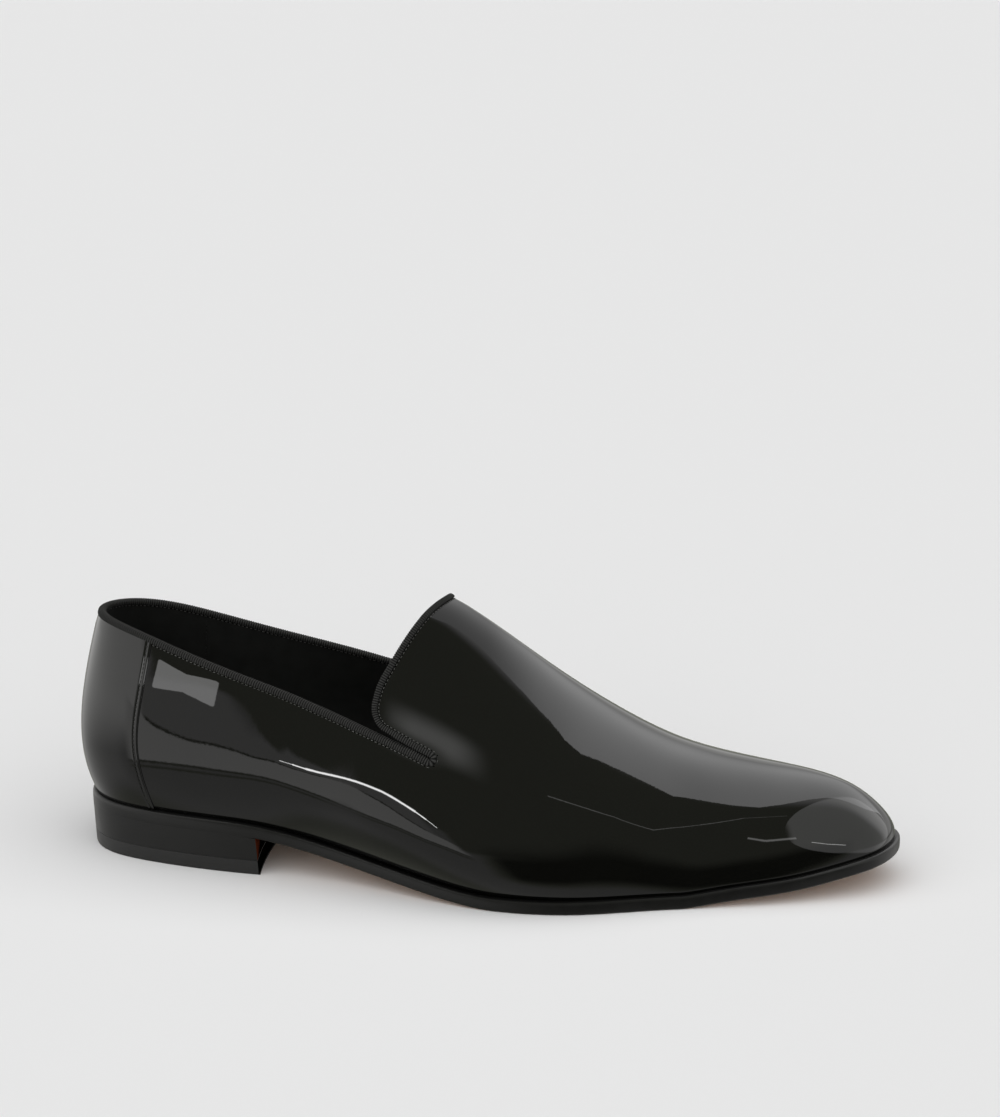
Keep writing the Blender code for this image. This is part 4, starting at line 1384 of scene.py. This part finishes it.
stack_low = TOP_PIECE_THICKNESS + STACK_GAP
stack_rows = [
    heel_row(heel_inset(stack_low) + STACK_CORNER[0], stack_low),
    heel_row(heel_inset(stack_low), stack_low + STACK_CORNER[1]),
    *(heel_row(heel_inset(height), height) for height in STACK_HEIGHTS),
    *(heel_row(0.0, rise=rise) for rise in STACK_TOPS),
]
stack_rows = [heel_spine(stack_rows[0]), *stack_rows, heel_spine(stack_rows[-1])]
heel_stack = bent_grid("heel_block", np.stack(stack_rows))
finish_piece(heel_stack, "heel_stack", edge_ink, stained_leather, nodes=("heel_stack",))
paint_faces(heel_stack, 1, lambda middle, normal: normal.x > BREAST_TILT)


def fade_to_black(surface, way, start, end):
    """Darken a finish to black across the piece, between two distances in metres along a way."""
    nodes, links = surface.node_tree.nodes, surface.node_tree.links
    base_colour = nodes["Principled BSDF"].inputs["Base Color"]
    across = nodes.new("ShaderNodeVectorMath")
    across.operation = "DOT_PRODUCT"
    links.new(nodes.new("ShaderNodeTexCoord").outputs["Object"], across.inputs[0])
    across.inputs[1].default_value = way
    share = nodes.new("ShaderNodeMapRange")
    links.new(across.outputs["Value"], share.inputs["Value"])
    share.inputs["From Min"].default_value = start
    share.inputs["From Max"].default_value = end
    inked = nodes.new("ShaderNodeMix")
    inked.data_type = "RGBA"
    links.new(share.outputs["Result"], inked.inputs["Factor"])
    links.new(base_colour.links[0].from_socket, inked.inputs["A"])
    inked.inputs["B"].default_value = FADE_BLACK
    links.new(inked.outputs["Result"], base_colour)


# The breast is brown only in a strip at its lateral edge; the colour darkens to black towards the medial side
# and lower down.
brown_strip_edge = min(vertex.co.y for vertex in heel_stack.data.vertices) - BROWN_STRIP_SLOPE * stack_low * MM
fade_to_black(stained_leather, (0.0, 1.0, -BROWN_STRIP_SLOPE), brown_strip_edge, brown_strip_edge + BROWN_STRIP_FADE)

piece_top = heel_inset(TOP_PIECE_THICKNESS)
PIECE_SECTION = [
    (HEEL_TAPER + 0.5, 0.0),
    (HEEL_TAPER + 0.15, 0.12),
    (HEEL_TAPER, 0.5),
    (piece_top, TOP_PIECE_THICKNESS - 0.12),
    (piece_top + 0.12, TOP_PIECE_THICKNESS),
]
piece_rows = [heel_row(inset, height) for inset, height in PIECE_SECTION]
piece_rows = [heel_spine(piece_rows[0]), *piece_rows, heel_spine(piece_rows[-1])]
top_piece = bent_grid("heel_top", np.stack(piece_rows))
finish_piece(top_piece, "heel_top_piece", heel_rubber, dull_black, nodes=("heel_top_piece",))
# The top piece's breast face is a darker, dull black.
paint_faces(top_piece, 1, lambda middle, normal: normal.x > BREAST_TILT)

# %% [markdown]
# ## Insole
# The foot stands on a soft insole covered in the same dull leather as the lining. It is a thin plate that
# follows the sole and turns up a little at its rim.

# %% Insole
INSOLE_THICKNESS = 2.4
INSOLE_PLAY = 0.6
INSOLE_ROOM = SOLE_LEDGE + UPPER_WALL + INSOLE_PLAY
INSOLE_SECTION = [
    (1.0, 0.0),
    (0.0, 0.4),
    (0.0, 2.6),
    (0.5, 3.0),
    (1.2, 3.05),
    (4.0, 2.75),
    (10.0, INSOLE_THICKNESS),
]


def insole_row(inset, lift):
    return sole_row(INSOLE_ROOM + inset, SOLE_THICKNESS + SEAT_GAP + lift)


insole_rows = [insole_row(inset, lift) for inset, lift in INSOLE_SECTION]
insole_rows = [spine_row(insole_rows[0]), *insole_rows, spine_row(insole_rows[-1])]
insole = bent_grid("insole_cover", np.stack(insole_rows))
finish_piece(insole, "insole", lining_leather, nodes=("insole",))

# %% [markdown]
# ## Glints
# The last lights are small. Lamps close to the shoe make the short glints on the toe, the quarter and the
# waist. They could be pushed about by eye, but a mirror does it better: a glint is given by its places in the
# picture, the camera's rays through them are mirrored at the leather, and the lamps stand a little way along
# those rays. A thin glint is a chain of short lamps. All of them only show in gloss.

# %% Rays mirrored at the leather
PICTURE = (1000, 1117)
GUESS_TURNS = np.linspace(0.1, 3.1, 160)
GUESS_RISES = np.linspace(0.02, 1.4, 60)
NUDGES = np.diag([0.003, 0.005])
RAY_ROUNDS = 6

eye = np.array(CAMERA_EYE)
view_ways = np.array(look.to_matrix())
focus = CAMERA_LENS / CAMERA_SENSOR * max(PICTURE)


def seen_at(points):
    """Where points are seen in the picture, in pixels from its upper left corner."""
    right, up, back = ((points - eye) @ view_ways).T
    return np.column_stack([PICTURE[0] / 2 - focus * right / back, PICTURE[1] / 2 + focus * up / back])


def leather_at(spots):
    """Outer face of the leather at (turn, rise) spots, with its hollow, in metres."""
    face = last_surface(*spots.T)
    return (face - surface_normal(*spots.T) * fold_drop(face)[:, None] - MIDDLE) * MM


def both_sides(measure, spots):
    """Change of a measure from one side of the spots to the other, for each of the two nudges."""
    return [measure(spots + nudge) - measure(spots - nudge) for nudge in NUDGES]


def mirrored(pixels, distance):
    """Places at a distance along the camera's rays through these pixels, mirrored at the leather."""
    pixels = np.array(pixels, float)
    guesses = np.stack(np.meshgrid(GUESS_TURNS, GUESS_RISES), -1).reshape(-1, 2)
    far = np.linalg.norm(seen_at(leather_at(guesses)) - pixels[:, None], axis=2)
    spots = guesses[far.argmin(1)]
    for _ in range(RAY_ROUNDS):
        moves = np.stack(both_sides(lambda near: seen_at(leather_at(near)), spots), -1) / 2
        missing = pixels - seen_at(leather_at(spots))
        spots = spots + np.linalg.solve(moves, missing[..., None])[..., 0] @ NUDGES
    normal = unit(np.cross(*both_sides(leather_at, spots)))
    place = leather_at(spots)
    ray = unit(place - eye)
    return place + distance * (ray - 2 * (ray * normal).sum(1, keepdims=True) * normal)


print("focus", round(focus), "pixels")

# %% Small lamps
Panel = namedtuple("Panel", "name shape middle along up glow soft pinch")
PANELS = [
    Panel("lamp_toe_side", "ELLIPSE", (0.1435, -0.0130, 0.0305), (0.0450, 0.0465, -0.0190),
          (-0.0160, 0.0300, 0.0365), 0.66, (0.06, 0.06), None),
    Panel("lamp_quarter", "RECTANGLE", (-0.1130, -0.0380, 0.0720), (0.0295, -0.0080, -0.0060),
          (0.0035, 0.0020, 0.0140), 2.1, (0.10, 0.14), 0.34),
    Panel("lamp_tongue", "RECTANGLE", (-0.0145, -0.0560, 0.0695), (0.0600, -0.0060, -0.0125),
          (0.0050, 0.0095, 0.0180), 0.85, (0.36, 0.46), None),
]
WAIST_SEEN = [(280, 760), (299, 767), (324, 774), (350, 780), (375, 789), (400, 802), (424, 818), (437, 828)]
WAIST_LAMPS = 13
Glint = namedtuple("Glint", "name pixels distance width glow")
GLINTS = [
    Glint("lamp_waist", smooth_path(WAIST_SEEN, WAIST_LAMPS + 1), 0.012, 0.0018, 16.0),
    Glint("lamp_vamp", [(548, 796), (615, 817), (653, 830)], 0.015, 0.0015, 1.1),
    Glint("lamp_front", [(653, 830), (700, 825), (745, 818), (787, 816)], 0.015, 0.0012, 1.1),
    Glint("lamp_toe", [(748, 838), (765, 841), (797, 838)], 0.012, 0.0042, 1.7),
    Glint("lamp_tip", [(812, 842), (828, 844), (846, 845)], 0.012, 0.0013, 5.0),
]
GLINT_SOFT = (0.001, 0.42)
GLINT_TAPER = 5.0
GLINT_END = 0.6
PINCHED_OUTLINE = (0.3, 0.5)
CORE_SHARE = 0.85
CORE_DROP = 0.02


def area_lamp(name, shape, middle, along, up, glow, soft, pinch=None):
    """Flat lamp that faces the shoe and only shows in gloss; soft is the fading share of each direction.

    A pinched lamp has a crisp outline that is narrower in the middle.
    """
    middle, along, up = Vector(middle), Vector(along), Vector(up)
    side = along.normalized()
    back = side.cross(up).normalized()
    inside_shoe = Vector((CORE_SHARE * middle.x, 0.0, middle.z - CORE_DROP))
    if back.dot(inside_shoe - middle) > 0:
        side, back = -side, -back
    turned = Matrix((side, back.cross(side), back)).transposed().to_euler()
    bpy.ops.object.select_all(action="DESELECT")
    bpy.ops.object.light_add(type="AREA", location=middle, rotation=turned)
    lamp = bpy.context.object
    lamp.name = lamp.data.name = name
    lamp.data.shape = shape
    lamp.data.size, lamp.data.size_y = along.length, up.length
    area = along.length * up.length * (math.pi / 4 if shape == "ELLIPSE" else 1.0)
    lamp.data.energy = 4 * area * glow
    lamp.visible_camera = lamp.visible_diffuse = False
    lamp.data.use_nodes = True
    tree = lamp.data.node_tree
    from_end, from_side = (combine(tree, "PINGPONG", way, 0.5) for way in sheet_ways(tree))
    if pinch:
        from_side = combine(tree, "SUBTRACT", from_side, combine(tree, "MULTIPLY", from_end, pinch))
    end_fade = ramp(tree, from_end, 0.0, soft[0], 0.0, 1.0)
    shown = combine(tree, "MULTIPLY", end_fade, ramp(tree, from_side, 0.0, soft[1], 0.0, 1.0))
    if pinch:
        shown = ramp(tree, shown, *PINCHED_OUTLINE, 0.0, 1.0)
    tree.links.new(shown, tree.nodes["Emission"].inputs["Strength"])


def lamp_chain(glint):
    """Short lamps along a glint, each as long as its step and narrower towards the ends."""
    path = mirrored(glint.pixels, glint.distance)
    count = len(path) - 1
    reach = max(1.0, count / GLINT_TAPER)
    for i, (start, end) in enumerate(zip(path, path[1:])):
        width = glint.width * min(1.0, (i + GLINT_END) / reach, (count - 1 - i + GLINT_END) / reach)
        name, up = f"{glint.name}_{i}", (0.0, 0.0, width)
        area_lamp(name, "RECTANGLE", (start + end) / 2, end - start, up, glint.glow, GLINT_SOFT)


for panel in PANELS:
    area_lamp(*panel)
for glint in GLINTS:
    lamp_chain(glint)
print(len(PANELS), "panels and", len(GLINTS), "glints")
